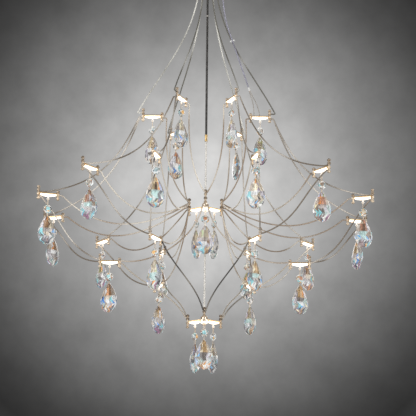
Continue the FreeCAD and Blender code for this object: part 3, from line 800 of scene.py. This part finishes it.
# painted highlight and shade: how light each wire is drawn, in quarters from bronze (0) to
# pale champagne (4), in the order of its routes
wirePaintedLight = {
    "wiresSuspension": "111312",
    "wiresUpperToHub": "310222",
    "wiresUpperToWide": "222122233222",
    "wiresWideToHub": "111123211232",
    "wiresWideToLower": "133110303113",
    "wiresLowerToHub": "221121",
    "wiresLowerToBase": "013434",
}
wire = {
    "radius": 1.15, "sides": 12,
    "seat": 1.0,              # half of the CAD wire's thickness
    "step": 2.4,              # between wires that share a hub post
    "pair": 2.6,              # between two wires that share a ring post
    "soften": 4.0, "fine": 0.5, "spacing": 2.0,
}
shapes = {
    # at each end: level lead, length of the curve's handle, its slope in degrees
    "suspension": ((0, 127, -88.5), (-10, 101, 63)),
    "drop": ((8.5, 52, -93), (4, 50, 42)),
    "out": ((7, 85, -68), (9, 100, 14)),
    "sag": ((8, 105, -42), (7, 65, -33)),
    "fall": ((5, 62, -40), (6, 62, 12)),
    "rise": ((6, 50, 0), (4, 60, -68)),
    "frontRise": ((6, 50, -12), (4, 66, -80)),
    "base": ((5, 46, -50), (4, 44, 66)),
}


def evenly(path, spacing):
    # the same path with points at equal distances along it
    gone = np.concatenate([[0], np.cumsum(np.linalg.norm(np.diff(path, axis=0), axis=1))])
    at = np.linspace(0, gone[-1], max(8, int(gone[-1] / spacing) + 1))
    return np.stack([np.interp(at, gone, path[:, n]) for n in range(3)], -1)


def softened(path, length, spacing):
    # corners eased by a running mean, with the ends held where they are
    half = max(1, int(length / spacing / 2))
    window = np.hanning(2 * half + 3)[1:-1]
    window /= window.sum()
    head = 2 * path[0] - path[half:0:-1]
    tail = 2 * path[-1] - path[-2:-half - 2:-1]
    long = np.concatenate([head, path, tail])
    return np.stack([np.convolve(long[:, n], window, "valid") for n in range(3)], -1)


def sprungPath(start, end, shape, plunge=0.0):
    # a wire bent in the upright plane through two posts: short level leads, and between them
    # the cubic p(t) = a (1-t)^3 + 3 b t (1-t)^2 + 3 c t^2 (1-t) + d t^3, whose handles slope
    # as given; plunge is how far it first goes straight down
    way = np.array([end[0] - start[0], end[1] - start[1], 0.0])
    way /= np.linalg.norm(way)
    up = np.array([0.0, 0.0, 1.0])
    (leadA, handleA, slopeA), (leadB, handleB, slopeB) = shape
    slopeA, slopeB = math.radians(slopeA), math.radians(slopeB)
    a = start + way * leadA - up * plunge
    d = end - way * leadB
    b = a + (way * math.cos(slopeA) + up * math.sin(slopeA)) * handleA
    c = d + (-way * math.cos(slopeB) + up * math.sin(slopeB)) * handleB
    t = np.linspace(0, 1, 80)[:, None]
    curve = a * (1 - t) ** 3 + b * 3 * t * (1 - t) ** 2 + c * 3 * t * t * (1 - t) + d * t ** 3
    path = evenly(np.concatenate([[start], curve, [end]]), wire["fine"])
    path = evenly(softened(path, wire["soften"], wire["fine"]), wire["spacing"])
    return path, np.cross(way, up)


def wiresAlong(name, node, routes, metal=wireMetal):
    shells, paintedLevels = [], []
    for (start, end, shape, *plunge), paintedLevel in zip(routes, wirePaintedLight[name]):
        path, across = sprungPath(start, end, shapes[shape], *plunge)
        shells.append(tube(path, across, wire["radius"], wire["sides"]))
        paintedLevels.append(np.full((faceCount(shells[-1]), 4), int(paintedLevel) / 4))
    made(name, joined(shells), [metal], "frame", [node], sharp=60,
         facetColour=np.concatenate(paintedLevels))


def postRing(kind, side):
    # a point on a ring's outer (1) or inner (-1) posts, by azimuth and height over its level
    radius, level = rings[kind][0] + side * radii["halfSpan"], rings[kind][2]
    return lambda angle, up: spot(radius, angle, level + up)


outerUpper, innerUpper = postRing("upper", 1), postRing("upper", -1)
outerWide, innerWide = postRing("wide", 1), postRing("wide", -1)
outerLower, innerLower = postRing("lower", 1), postRing("lower", -1)
seats = {
    # where the wires meet their posts, above or below the level of the light bars
    "collarRadius": 12.0, "plunge": 8.0, "suspension": 6.4,
    "upperInner": -2.0, "upperOuter": -2.6,
    "wideOuter": bar["top"] + wire["seat"] + 0.7, "wideInner": 0.0,
    "lowerOuter": 3.2, "lowerInner": 2.0,
    "hubTop": post["hub"] - 3 - wire["seat"] - 0.3, "hubSide": 0.4, "hubUnder": -5.0,
    "baseTop": 9.0,
}
ringSides = [(angle, side) for angle in ringAngles for side in (-1, 1)]
# for each wire from the upper or lower ring: its hub post, and its place below the top wire
hubPairs = [(0, 0), (0, 1), (120, 0), (120, 1), (240, 1), (240, 0)]
lowerHub = {-30: 240, 30: 120, 90: 0, 150: 120, 210: 240, 270: 0}
wideFromBack = [middle + side * pairAngle for middle in (150, 90, 30) for side in (1, -1)]


def hubPost(hub, foot, up):
    return spot(radii["hubPost"], foot, levels[hub] + up)


wiresAlong("wiresSuspension", "wires_suspension", [
    (spot(seats["collarRadius"], angle, levels["collarFloor"]),
     outerUpper(angle, seats["suspension"]), "suspension", seats["plunge"])
    for angle in upperAngles], suspensionMetal)
wiresAlong("wiresUpperToHub", "wires_upper_to_hub", [
    (innerUpper(angle, seats["upperInner"]),
     hubPost("hub", foot, seats["hubTop"] - rank * wire["step"]), "drop")
    for angle, (foot, rank) in zip(upperAngles, hubPairs)], hubWireHighlit)
wiresAlong("wiresUpperToWide", "wires_upper_to_wide", [
    (outerUpper(upperAngles[n // 2], seats["upperOuter"] + side * wire["pair"] / 2),
     outerWide(angle + side * pairAngle, seats["wideOuter"]), "out")
    for n, (angle, side) in enumerate(ringSides)])
wiresAlong("wiresWideToHub", "wires_wide_to_hub", [
    (innerWide(hand * angle, seats["wideInner"]),
     hubPost("hub", foot, seats["hubSide"] + rank * wire["step"]), "sag")
    for hand, foot in ((1, 120), (-1, 240)) for rank, angle in enumerate(wideFromBack)],
    hubWireHighlit)
wiresAlong("wiresWideToLower", "wires_wide_to_lower", [
    (outerWide(angle + side * pairAngle, -seats["wideOuter"]),
     outerLower(angle, seats["lowerOuter"] + side * wire["pair"] / 2), "fall")
    for angle, side in ringSides])
wiresAlong("wiresLowerToHub", "wires_lower_to_hub", [
    (innerLower(angle, seats["lowerInner"]),
     hubPost("hub", foot, seats["hubUnder"] + (angle not in (-30, 30, 90)) * wire["step"]),
     "rise" if foot else "frontRise")
    for angle, foot in lowerHub.items()], hubWireHighlit)
wiresAlong("wiresLowerToBase", "wires_lower_to_base", [
    (innerLower(angle, -seats["lowerInner"]),
     hubPost("base", foot, seats["baseTop"] - rank * wire["step"]), "base")
    for angle, (foot, rank) in zip(ringAngles, hubPairs)], baseWireMetal)
print("wires made")


string = {
    "linkWire": 0.4, "linkWide": 3.2, "linkHigh": 11.0, "linkOver": 0.3, "linkDown": 0.7,
    "seatGap": 0.3, "beadRadius": 7.3, "beadThick": 8.0,
    "pinHigh": 5.0, "pinHalf": 1.5, "pinOver": 1.8, "pinWire": 0.4,
    "dropWide": 29.5, "dropHigh": 50.0, "dropThick": 10.0,
}
lug = {
    "high": 7.6, "thick": 1.0, "eyeFloor": 1.2,
    "eye": 1.2, "rim": 2.1,   # radii of the eye and of the tab round it
    "topShare": 0.9,          # how high the stub reaches in the lens
    # the neck: radius, and height over the eye's middle or down from the top
    "neckLow": [(0.9, 1.5), (1.0, 2.2)], "neckHigh": [(1.5, -1.6), (2.3, -0.5), (2.4, 0)],
}
eyeFloor = -bar["top"] - lug["high"] + lug["eyeFloor"]
linkTop = eyeFloor + string["seatGap"] + 2 * string["linkWire"]
beadFlat = string["beadRadius"] * math.cos(math.pi / 8)
beadTop = linkTop - string["linkHigh"]
pinTop = beadTop - 2 * beadFlat
dropTop = pinTop - string["pinHigh"]

# the drop's outline: share of its height, and there the share of half its width
dropOutline = np.array([(0, 0.12), (-0.06, 0.28), (-0.17, 0.50), (-0.30, 0.72), (-0.43, 0.86),
                        (-0.445, 0.93), (-0.58, 0.99), (-0.72, 0.97), (-0.86, 0.78),
                        (-0.96, 0.46), (-1.0, 0.12)])
# share of the way down, and there the share of its thickness
dropCrown = np.array([(0, 0.0), (0.06, 0.32), (0.17, 0.62), (0.30, 0.86), (0.43, 1.0),
                      (0.86, 1.0), (0.96, 0.5), (1.0, 0.0)])
dropColumns = np.array([-1, -0.84, -0.5, -0.17, 0.17, 0.5, 0.84, 1])
dropLine = 0.445              # the line across the drop, as a share of the way down
dropGirdle = 0.14             # thickness left at the edge, as a share


def dropGrid():
    # front of the drop: columns across and rows down, with u across and v down, thick as
    # girdle + (1 - girdle) * (1 - |u|^1.6) * crown(v); odd rows below the line shift by half
    # a column
    v = dropOutline[:, 0]
    crown = np.interp(-v, dropCrown[:, 0], dropCrown[:, 1])[:, None]
    u = np.repeat(dropColumns[None, :], len(v), 0)
    odd = (np.arange(len(v)) % 2 == 1) & (v < -dropLine)
    u[odd, 1:-1] = (u[odd, 1:-1] + u[odd, 2:]) / 2 * 0.96
    y = dropGirdle + (1 - dropGirdle) * (1 - np.abs(u) ** 1.6) * crown
    return np.stack([u * dropOutline[:, 1:], y, np.broadcast_to(v[:, None], u.shape)], -1)


def gridFacets(rows, columns):
    # two triangles between four neighbours, cut along the other diagonal in every other row
    i, j = np.meshgrid(np.arange(rows - 1), np.arange(columns - 1), indexing="ij")
    a = i * columns + j
    b, c, d = a + 1, a + columns + 1, a + columns
    even = (i % 2 == 0)[..., None]
    first = np.where(even, np.stack([a, b, c], -1), np.stack([a, b, d], -1))
    second = np.where(even, np.stack([a, c, d], -1), np.stack([b, c, d], -1))
    return np.concatenate([first.reshape(-1, 3), second.reshape(-1, 3)])


def cutStone(corners, facets, edge, halfWide, halfThick, high):
    # the front's corners, the same behind, and a narrow band between their edges
    front = corners * np.array([halfWide, halfThick, high])
    count = len(front)
    rim = np.stack([edge, np.roll(edge, -1), np.roll(edge, -1) + count, edge + count], -1)
    both = np.concatenate([front, front * np.array([1, -1, 1])])
    return outOf((both, [np.concatenate([facets, facets + count]), rim]))


def beadStone():
    # eight-sided: rings of eight corners, each turned half a step from the last, up to a table;
    # each ring as share of the radius, share of half the thickness, and turn
    t = roundSteps(8)
    ringsOfCorners = [(1.0, 0.16, math.pi / 8), (0.74, 0.68, 0.0), (0.46, 1.0, math.pi / 8)]
    corners = np.concatenate([
        np.stack([share * np.cos(t + turn), 0 * t + y, share * np.sin(t + turn)], -1)
        for share, y, turn in ringsOfCorners])
    j = np.arange(8)
    k = (j + 1) % 8
    facets = np.concatenate([
        np.stack([j, k, 8 + k], -1), np.stack([j, 8 + j, 8 + k], -1),
        np.stack([8 + j, 16 + j, 8 + k], -1), np.stack([16 + j, 16 + k, 8 + k], -1)])
    points, faces = cutStone(corners, facets, j, string["beadRadius"], string["beadThick"] / 2,
                             string["beadRadius"])
    front, back = np.stack([16 + j]), np.stack([40 + j[::-1]])
    return points, faces + [front, back]


# facet tints as red, green, blue and clearness, each with how often it comes
tints = {
    "warm": [
        ((0.32, 0.20, 0.12, 0.2), 4), ((0.48, 0.34, 0.20, 0.2), 4),
        ((0.38, 0.36, 0.20, 0.25), 2), ((0.58, 0.48, 0.33, 0.3), 2),
        ((0.44, 0.25, 0.18, 0.2), 3), ((0.70, 0.62, 0.50, 0.4), 3)],
    "streak": [
        ((0.95, 0.85, 0.66, 0.2), 3), ((0.18, 0.12, 0.09, 0.1), 2),
        ((0.74, 0.34, 0.15, 0.1), 2), ((0.52, 0.60, 0.38, 0.3), 2),
        ((0.84, 0.88, 0.94, 0.4), 2), ((0.46, 0.39, 0.50, 0.3), 1)],
    "shoulder": [
        ((0.62, 0.60, 0.64, 0.7), 4), ((0.50, 0.43, 0.37, 0.5), 3),
        ((0.68, 0.62, 0.52, 0.5), 3), ((0.58, 0.62, 0.78, 0.5), 2),
        ((0.40, 0.48, 0.50, 0.6), 1)],
    "warmEdge": [
        ((0.70, 0.67, 0.64, 0.6), 4), ((0.50, 0.44, 0.38, 0.6), 3),
        ((0.88, 0.84, 0.78, 0.3), 2)],
    "kite": [
        ((0.93, 0.94, 0.95, 0.15), 6), ((0.62, 0.80, 0.78, 0.3), 3),
        ((0.20, 0.18, 0.17, 0.2), 2), ((0.50, 0.46, 0.44, 0.5), 2),
        ((0.80, 0.72, 0.62, 0.3), 1)],
    "cool": [
        ((0.50, 0.58, 0.56, 0.5), 4), ((0.62, 0.64, 0.66, 0.65), 5),
        ((0.36, 0.74, 0.80, 0.25), 2), ((0.86, 0.86, 0.85, 0.3), 3),
        ((0.24, 0.24, 0.25, 0.4), 3), ((0.40, 0.32, 0.26, 0.4), 3),
        ((0.16, 0.34, 0.78, 0.2), 1), ((0.59, 0.56, 0.60, 0.5), 3),
        ((0.62, 0.56, 0.46, 0.5), 2)],
    "tip": [
        ((0.80, 0.42, 0.22, 0.15), 1), ((0.36, 0.27, 0.27, 0.2), 2),
        ((0.40, 0.74, 0.82, 0.25), 2), ((0.20, 0.20, 0.22, 0.3), 2),
        ((0.92, 0.90, 0.86, 0.2), 3), ((0.52, 0.36, 0.24, 0.3), 2),
        ((0.39, 0.24, 0.33, 0.15), 1), ((0.56, 0.62, 0.56, 0.4), 2)],
    # painted glints: single facets drawn bright white, near black or in bright colours, as flashes
    # of light from the cut
    "spark": [
        ((0.97, 0.97, 0.97, 0.15), 5), ((0.13, 0.13, 0.14, 0.2), 5),
        ((0.92, 0.40, 0.14, 0.05), 1), ((0.44, 0.40, 0.56, 0.3), 1),
        ((0.92, 0.78, 0.52, 0.2), 2), ((0.26, 0.54, 0.90, 0.2), 2)],
    "coolEdge": [
        ((0.92, 0.92, 0.92, 0.3), 3), ((0.44, 0.54, 0.74, 0.4), 1),
        ((0.54, 0.78, 0.80, 0.4), 1), ((0.32, 0.31, 0.32, 0.4), 3),
        ((0.86, 0.78, 0.70, 0.4), 2)],
    "bead": [
        ((0.97, 0.97, 0.96, 0.25), 7), ((0.50, 0.64, 0.68, 0.5), 3),
        ((0.40, 0.31, 0.24, 0.4), 2), ((1.0, 0.58, 0.20, 0.05), 1),
        ((0.22, 0.22, 0.24, 0.4), 2), ((0.86, 0.76, 0.60, 0.4), 2),
        ((0.42, 0.80, 0.84, 0.3), 1), ((0.62, 0.28, 0.15, 0.1), 1)],
}
zones = {
    # columns, edge and sides as shares of half the width, falls as shares of the lower half
    "upperTo": 0.437, "edge": 0.86,
    "columns": [-0.6, -0.36, -0.12, 0.12, 0.36, 0.6],
    "streakBreak": 0.2,       # share of the way down where the streaks change
    "lightness": (0.6, 1.5),
    "shoulders": [0, 6, 7, 13],
    "flankFall": 0.34, "flankSide": 0.55,
    "tip": 0.62, "tipColumns": [-0.6, -0.2, 0.2, 0.6],
    "kiteHalf": 0.5, "kiteBreak": 0.26,
    "sparks": 0.16,
    "vivid": 1.15,
}


def drawn(name, count, dice):
    bag = np.array([tint for tint, often in tints[name] for _ in range(often)])
    return bag[dice.integers(0, len(bag), count)]


def dropTints(dice):
    # upper half: one warm tint in the middle columns, lighter or darker in streaks that run down
    # to the line, between clear shoulders; lower half: a kite under the line, two flanks and a
    # tip, each split in a few patches; single sparks, which are painted glints, bright and dark;
    # and a bright edge; x, u: shares of half the width, over all and at the facet's own level
    at = middles(dropStone)
    x, z = at[:, 0] / (string["dropWide"] / 2), at[:, 2] / string["dropHigh"]
    u = x / np.interp(-z, -dropOutline[:, 0], dropOutline[:, 1])
    fall = (-dropLine - z) / (1 - dropLine)
    upper, edge = z > -zones["upperTo"], np.abs(u) > zones["edge"]
    across = len(zones["columns"]) + 1
    count = 2 * across
    column = np.digitize(u, zones["columns"]) + across * (z < -zones["streakBreak"])
    warm = drawn("warm", 1, dice)
    streaks = warm * np.linspace(*zones["lightness"], count)[dice.permutation(count)][:, None]
    streaks[dice.integers(0, count, 4)] = drawn("streak", 4, dice)
    streaks[zones["shoulders"]] = drawn("shoulder", 4, dice)
    patch = 4 * (x > 0) + 2 * (fall > zones["flankFall"]) + (np.abs(u) > zones["flankSide"])
    colour = np.where(upper[:, None], streaks[column], drawn("cool", 8, dice)[patch])
    tip = ~upper & (fall > zones["tip"])
    colour[tip] = drawn("tip", 5, dice)[np.digitize(u[tip], zones["tipColumns"])]
    kite = ~upper & (np.abs(x) < zones["kiteHalf"] * (1 - fall / zones["tip"]))
    colour[kite] = drawn("kite", 2, dice)[(fall[kite] > zones["kiteBreak"]).astype(int)]
    spark = ~upper & ~kite & (dice.random(len(z)) < zones["sparks"])
    for mask, name in ((spark, "spark"), (upper & edge, "warmEdge"), (~upper & edge, "coolEdge")):
        colour[mask] = drawn(name, int(mask.sum()), dice)
    colour[:, :3] *= 0.85 + 0.3 * dice.random((len(z), 1))
    grey = colour[:, :3].mean(1, keepdims=True)
    colour[:, :3] = grey + zones["vivid"] * (colour[:, :3] - grey)
    return np.clip(colour, 0, 1)


dropFront = dropGrid()
rowCount, columnCount = dropFront.shape[:2]
numbers = np.arange(rowCount * columnCount).reshape(rowCount, columnCount)
dropEdge = np.concatenate([numbers[0], numbers[1:, -1], numbers[-1, -2::-1], numbers[-2:0:-1, 0]])
dropStone = cutStone(dropFront.reshape(-1, 3), gridFacets(rowCount, columnCount), dropEdge,
                     string["dropWide"] / 2, string["dropThick"] / 2, string["dropHigh"])
bead = beadStone()
# how far each drop is turned about its string, in degrees, and the seed of its tints
dropTurns = {
    "upper": [40, -52, 36, -64, 28, -38],
    "wide": [-20, 12, -10, 6, 8, -56, 34, -30, 48, -42, 46, 12],
    "lower": [-30, 34, 22, -46, 38, -20],
    "hub": [0, 120, 240],
    "base": [0, 120, 240],
}
dropSeeds = {
    "upper": [2, 2, 10, 1, 9, 7],
    "wide": [13, 14, 11, 2, 5, 2, 1, 10, 4, 3, 1, 9],
    "lower": [2, 14, 10, 13, 1, 3],
    "hub": [11, 11, 7],
    "base": [4, 11, 5],
}
hangers = {
    **rings,
    "hub": (hubMiddle, hubAngles, levels["hub"]),
    "base": (hubMiddle, hubAngles, levels["base"]),
}


def crystalString(kind, number, place, angle, turn):
    # link, bead, pin and drop on one hinge body; the tints are drawn by ring, place and seed
    ring = 1000 * len(kind) - int(hangers[kind][2])
    dice = np.random.default_rng((ring, number, dropSeeds[kind][number - 1]))
    link = roundLoop(string["linkWide"] / 2 - string["linkWire"],
                     string["linkHigh"] / 2 + string["linkOver"], string["linkWire"])
    pin = roundLoop(string["pinHalf"], string["pinHigh"] / 2 + string["pinOver"],
                    string["pinWire"], steps=24)
    linkMiddle = linkTop - string["linkHigh"] / 2 - string["linkDown"]
    pinMiddle = pinTop - string["pinHigh"] / 2
    metal = joined([turnedTo(link, angle, place + (0, 0, linkMiddle)),
                    turnedTo(pin, turn + 90, place + (0, 0, pinMiddle))])
    stones = joined([turnedTo(bead, turn, place + (0, 0, beadTop - beadFlat)),
                     turnedTo(dropStone, turn, place + (0, 0, dropTop))])
    plain = np.ones((faceCount(metal), 4))
    colours = np.concatenate([plain, drawn("bead", faceCount(bead), dice), dropTints(dice)])
    node = f"crystal_{kind}_{number}"
    made(f"crystal{kind.capitalize()}{number}", joined([metal, stones]), [champagne, crystal],
         node, [node], sharp=12, faceMaterial=materialIndex(metal, stones),
         facetColour=colours)


for kind, (radius, angles, level) in hangers.items():
    for number, (angle, turn) in enumerate(zip(angles, dropTurns[kind]), start=1):
        crystalString(kind, number, spot(radius, angle, level), angle, turn)


def lugShell():
    # a round stub under the lens that narrows down to a flat tab with an eye in it
    eyeMiddle = eyeFloor + lug["eye"]
    t = roundSteps(24)
    rows = [np.stack([radius * np.cos(t), np.full(24, y), radius * np.sin(t) + eyeMiddle], -1)
            for radius, y in ((lug["eye"], lug["thick"] / 2), (lug["rim"], lug["thick"] / 2),
                              (lug["rim"], -lug["thick"] / 2), (lug["eye"], -lug["thick"] / 2))]
    top = -bar["top"] * lug["topShare"]
    neck = ([(radius, eyeMiddle + up) for radius, up in lug["neckLow"]]
            + [(radius, top + up) for radius, up in lug["neckHigh"]])
    return joined([loopGrid(np.stack(rows)), lathe(neck, 20)])


lugs = [turnedTo(lugShell(), angle - 90, spot(radius, angle, level))
        for radius, angles, level in hangers.values() for angle in angles]
made("crystalLugs", joined(lugs), [lugMetal], "frame", ["crystal_lugs"],
     sharp=40)
print("crystal strings made")


cable = {
    "front": -3.2,            # y of the whole route
    "diameter": 2.4,
    "long": 0.245,            # metres, from the gland to the joint
    "route": [(25, -32), (25, -60), (26.8, -105), (33.2, -148), (44.2, -181), (54, -212),
              (64, -242), (72.5, -269)],
}
lead = {
    "diameter": 1.2, "shift": 0.9, "straight": 6.0, "bow": 2.0,
    # name, side of the joint, x of its foot on the bar, length in metres
    "pair": [("feedLeadInner", 1, 82.5, 0.047), ("feedLeadOuter", -1, 92.0, 0.051)],
}
gland = [(1.7, 0.2), (2.4, 0.8), (2.6, 1.6), (2.6, 6.0)]     # radius, height over its foot
joint = {"radius": 1.6, "high": 7.0}
tie = {"wide": 1.9, "deep": 3.9, "thick": 0.6, "high": 2.4, "after": 4, "lock": 1.3}


def cord(name, points, diameter, material, node, length, **facts):
    # one smooth line through the route's points, round in section; the length it is given is not
    # used
    curve = bpy.data.curves.new(name, "CURVE")
    curve.dimensions = "3D"
    spline = curve.splines.new("NURBS")
    spline.points.add(len(points) - 1)
    for point, place in zip(spline.points, points):
        point.co = (*(np.asarray(place) / 1000), 1)
    spline.order_u = 3
    spline.use_endpoint_u = True
    spline.resolution_u = 12
    curve.bevel_depth = diameter / 2000
    curve.bevel_resolution = 4
    curve.use_fill_caps = True
    curve.materials.append(material)
    piece = placed(name, curve)
    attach(piece, "frame")
    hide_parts(node)


cablePoints = [np.array([x, cable["front"], z]) for x, z in cable["route"]]
cord("feedCable", cablePoints, cable["diameter"], cableSkin, "feed_cable", cable["long"],
     stiffness="medium", lay="hanging")
jointWay = cablePoints[-1] - cablePoints[-2]
jointWay /= np.linalg.norm(jointWay)
jointEnd = cablePoints[-1] + jointWay * joint["high"]
sideWay = np.cross((0, 1, 0), jointWay)
for name, side, foot, length in lead["pair"]:
    begin = jointEnd + sideWay * (side * lead["shift"])
    bend = begin + jointWay * lead["straight"]
    end = np.array([foot, 0, levels["upper"] + bar["top"]])
    landing = end + (0, 0, lead["straight"])
    middle = (bend + landing) / 2 + (lead["bow"], 0, 0)
    cord(name, [end, landing, middle, bend, begin], lead["diameter"], leadSkin, "feed_leads",
         length, stiffness="medium", lay="hanging")


def alongWay(shell, way, place):
    # a shell drawn along +Z laid along another direction
    turn = np.array(Vector(way).normalized().to_track_quat("Z", "Y").to_matrix())
    return moved((shell[0] @ turn.T, shell[1]), place)


def tieShell():
    # a flat band round cable and wire, x = wide cos t, y = deep sin t, with its lock at one side
    t = roundSteps(32)
    half = tie["high"] / 2
    rows = np.stack([
        np.stack([(tie["wide"] + out) * np.cos(t), (tie["deep"] + out) * np.sin(t), 0 * t + up], -1)
        for out, up in ((0, -half), (tie["thick"], -half), (tie["thick"], half), (0, half))])
    points, faces = loopGrid(rows)
    lock = prismAlong(roundedSection(tie["lock"], -1.5, 1.5, 0.4), 1.2, 0.2)
    return joined([(points, [faces[0][:, ::-1]]),
                   moved(lock, (tie["wide"] + tie["thick"], -1.2, 0))])


def fittingShells():
    # cable gland under the canopy, moulded joint between cable and leads, and the tie
    x, z = cable["route"][0]
    glandBody = moved(lathe(gland, 24), (x, cable["front"], z))
    r, h = joint["radius"], joint["high"]
    jointBody = lathe([(r - 0.5, 0), (r, 0.6), (r, h - 1.6), (r - 0.7, h)], 20)
    tied, after = cablePoints[tie["after"]], cablePoints[tie["after"] + 1]
    return [glandBody, alongWay(jointBody, jointWay, cablePoints[-1]),
            alongWay(tieShell(), after - tied, tied - (0, cable["front"] / 2, 0))]


made("cableFittings", joined(fittingShells()), [plastic], "frame", ["cable_fittings"],
     sharp=40)
for node in ("mounting_bracket", "canopy_nipple"):
    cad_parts[node].data.materials.clear()
    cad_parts[node].data.materials.append(zinc)
print("feed cable, leads and fittings made")


floor = {"level": -2.4, "radius": 30.0, "sides": 96, "grey": 0.85}


def setFloor():
    # a pale disc under everything that can be seen through from below
    t = roundSteps(floor["sides"])
    x, y = floor["radius"] * np.cos(t), floor["radius"] * np.sin(t)
    rim = np.stack([x, y, 0 * t + floor["level"]], -1)
    mesh = bpy.data.meshes.new("floor")
    mesh.from_pydata(rim.tolist(), [], [list(range(floor["sides"]))])
    material, tree, shader = finish("floorMatte", (floor["grey"],) * 3, roughness=0.9)
    mesh.materials.append(material)
    back = tree.nodes.new("ShaderNodeNewGeometry")
    clear = tree.nodes.new("ShaderNodeBsdfTransparent")
    mix = tree.nodes.new("ShaderNodeMixShader")
    tree.links.new(back.outputs["Backfacing"], mix.inputs["Fac"])
    tree.links.new(shader.outputs["BSDF"], mix.inputs[1])
    tree.links.new(clear.outputs["BSDF"], mix.inputs[2])
    tree.links.new(mix.outputs["Shader"], tree.nodes["Material Output"].inputs["Surface"])
    placed("floor", mesh)


setFloor()
print("finished")
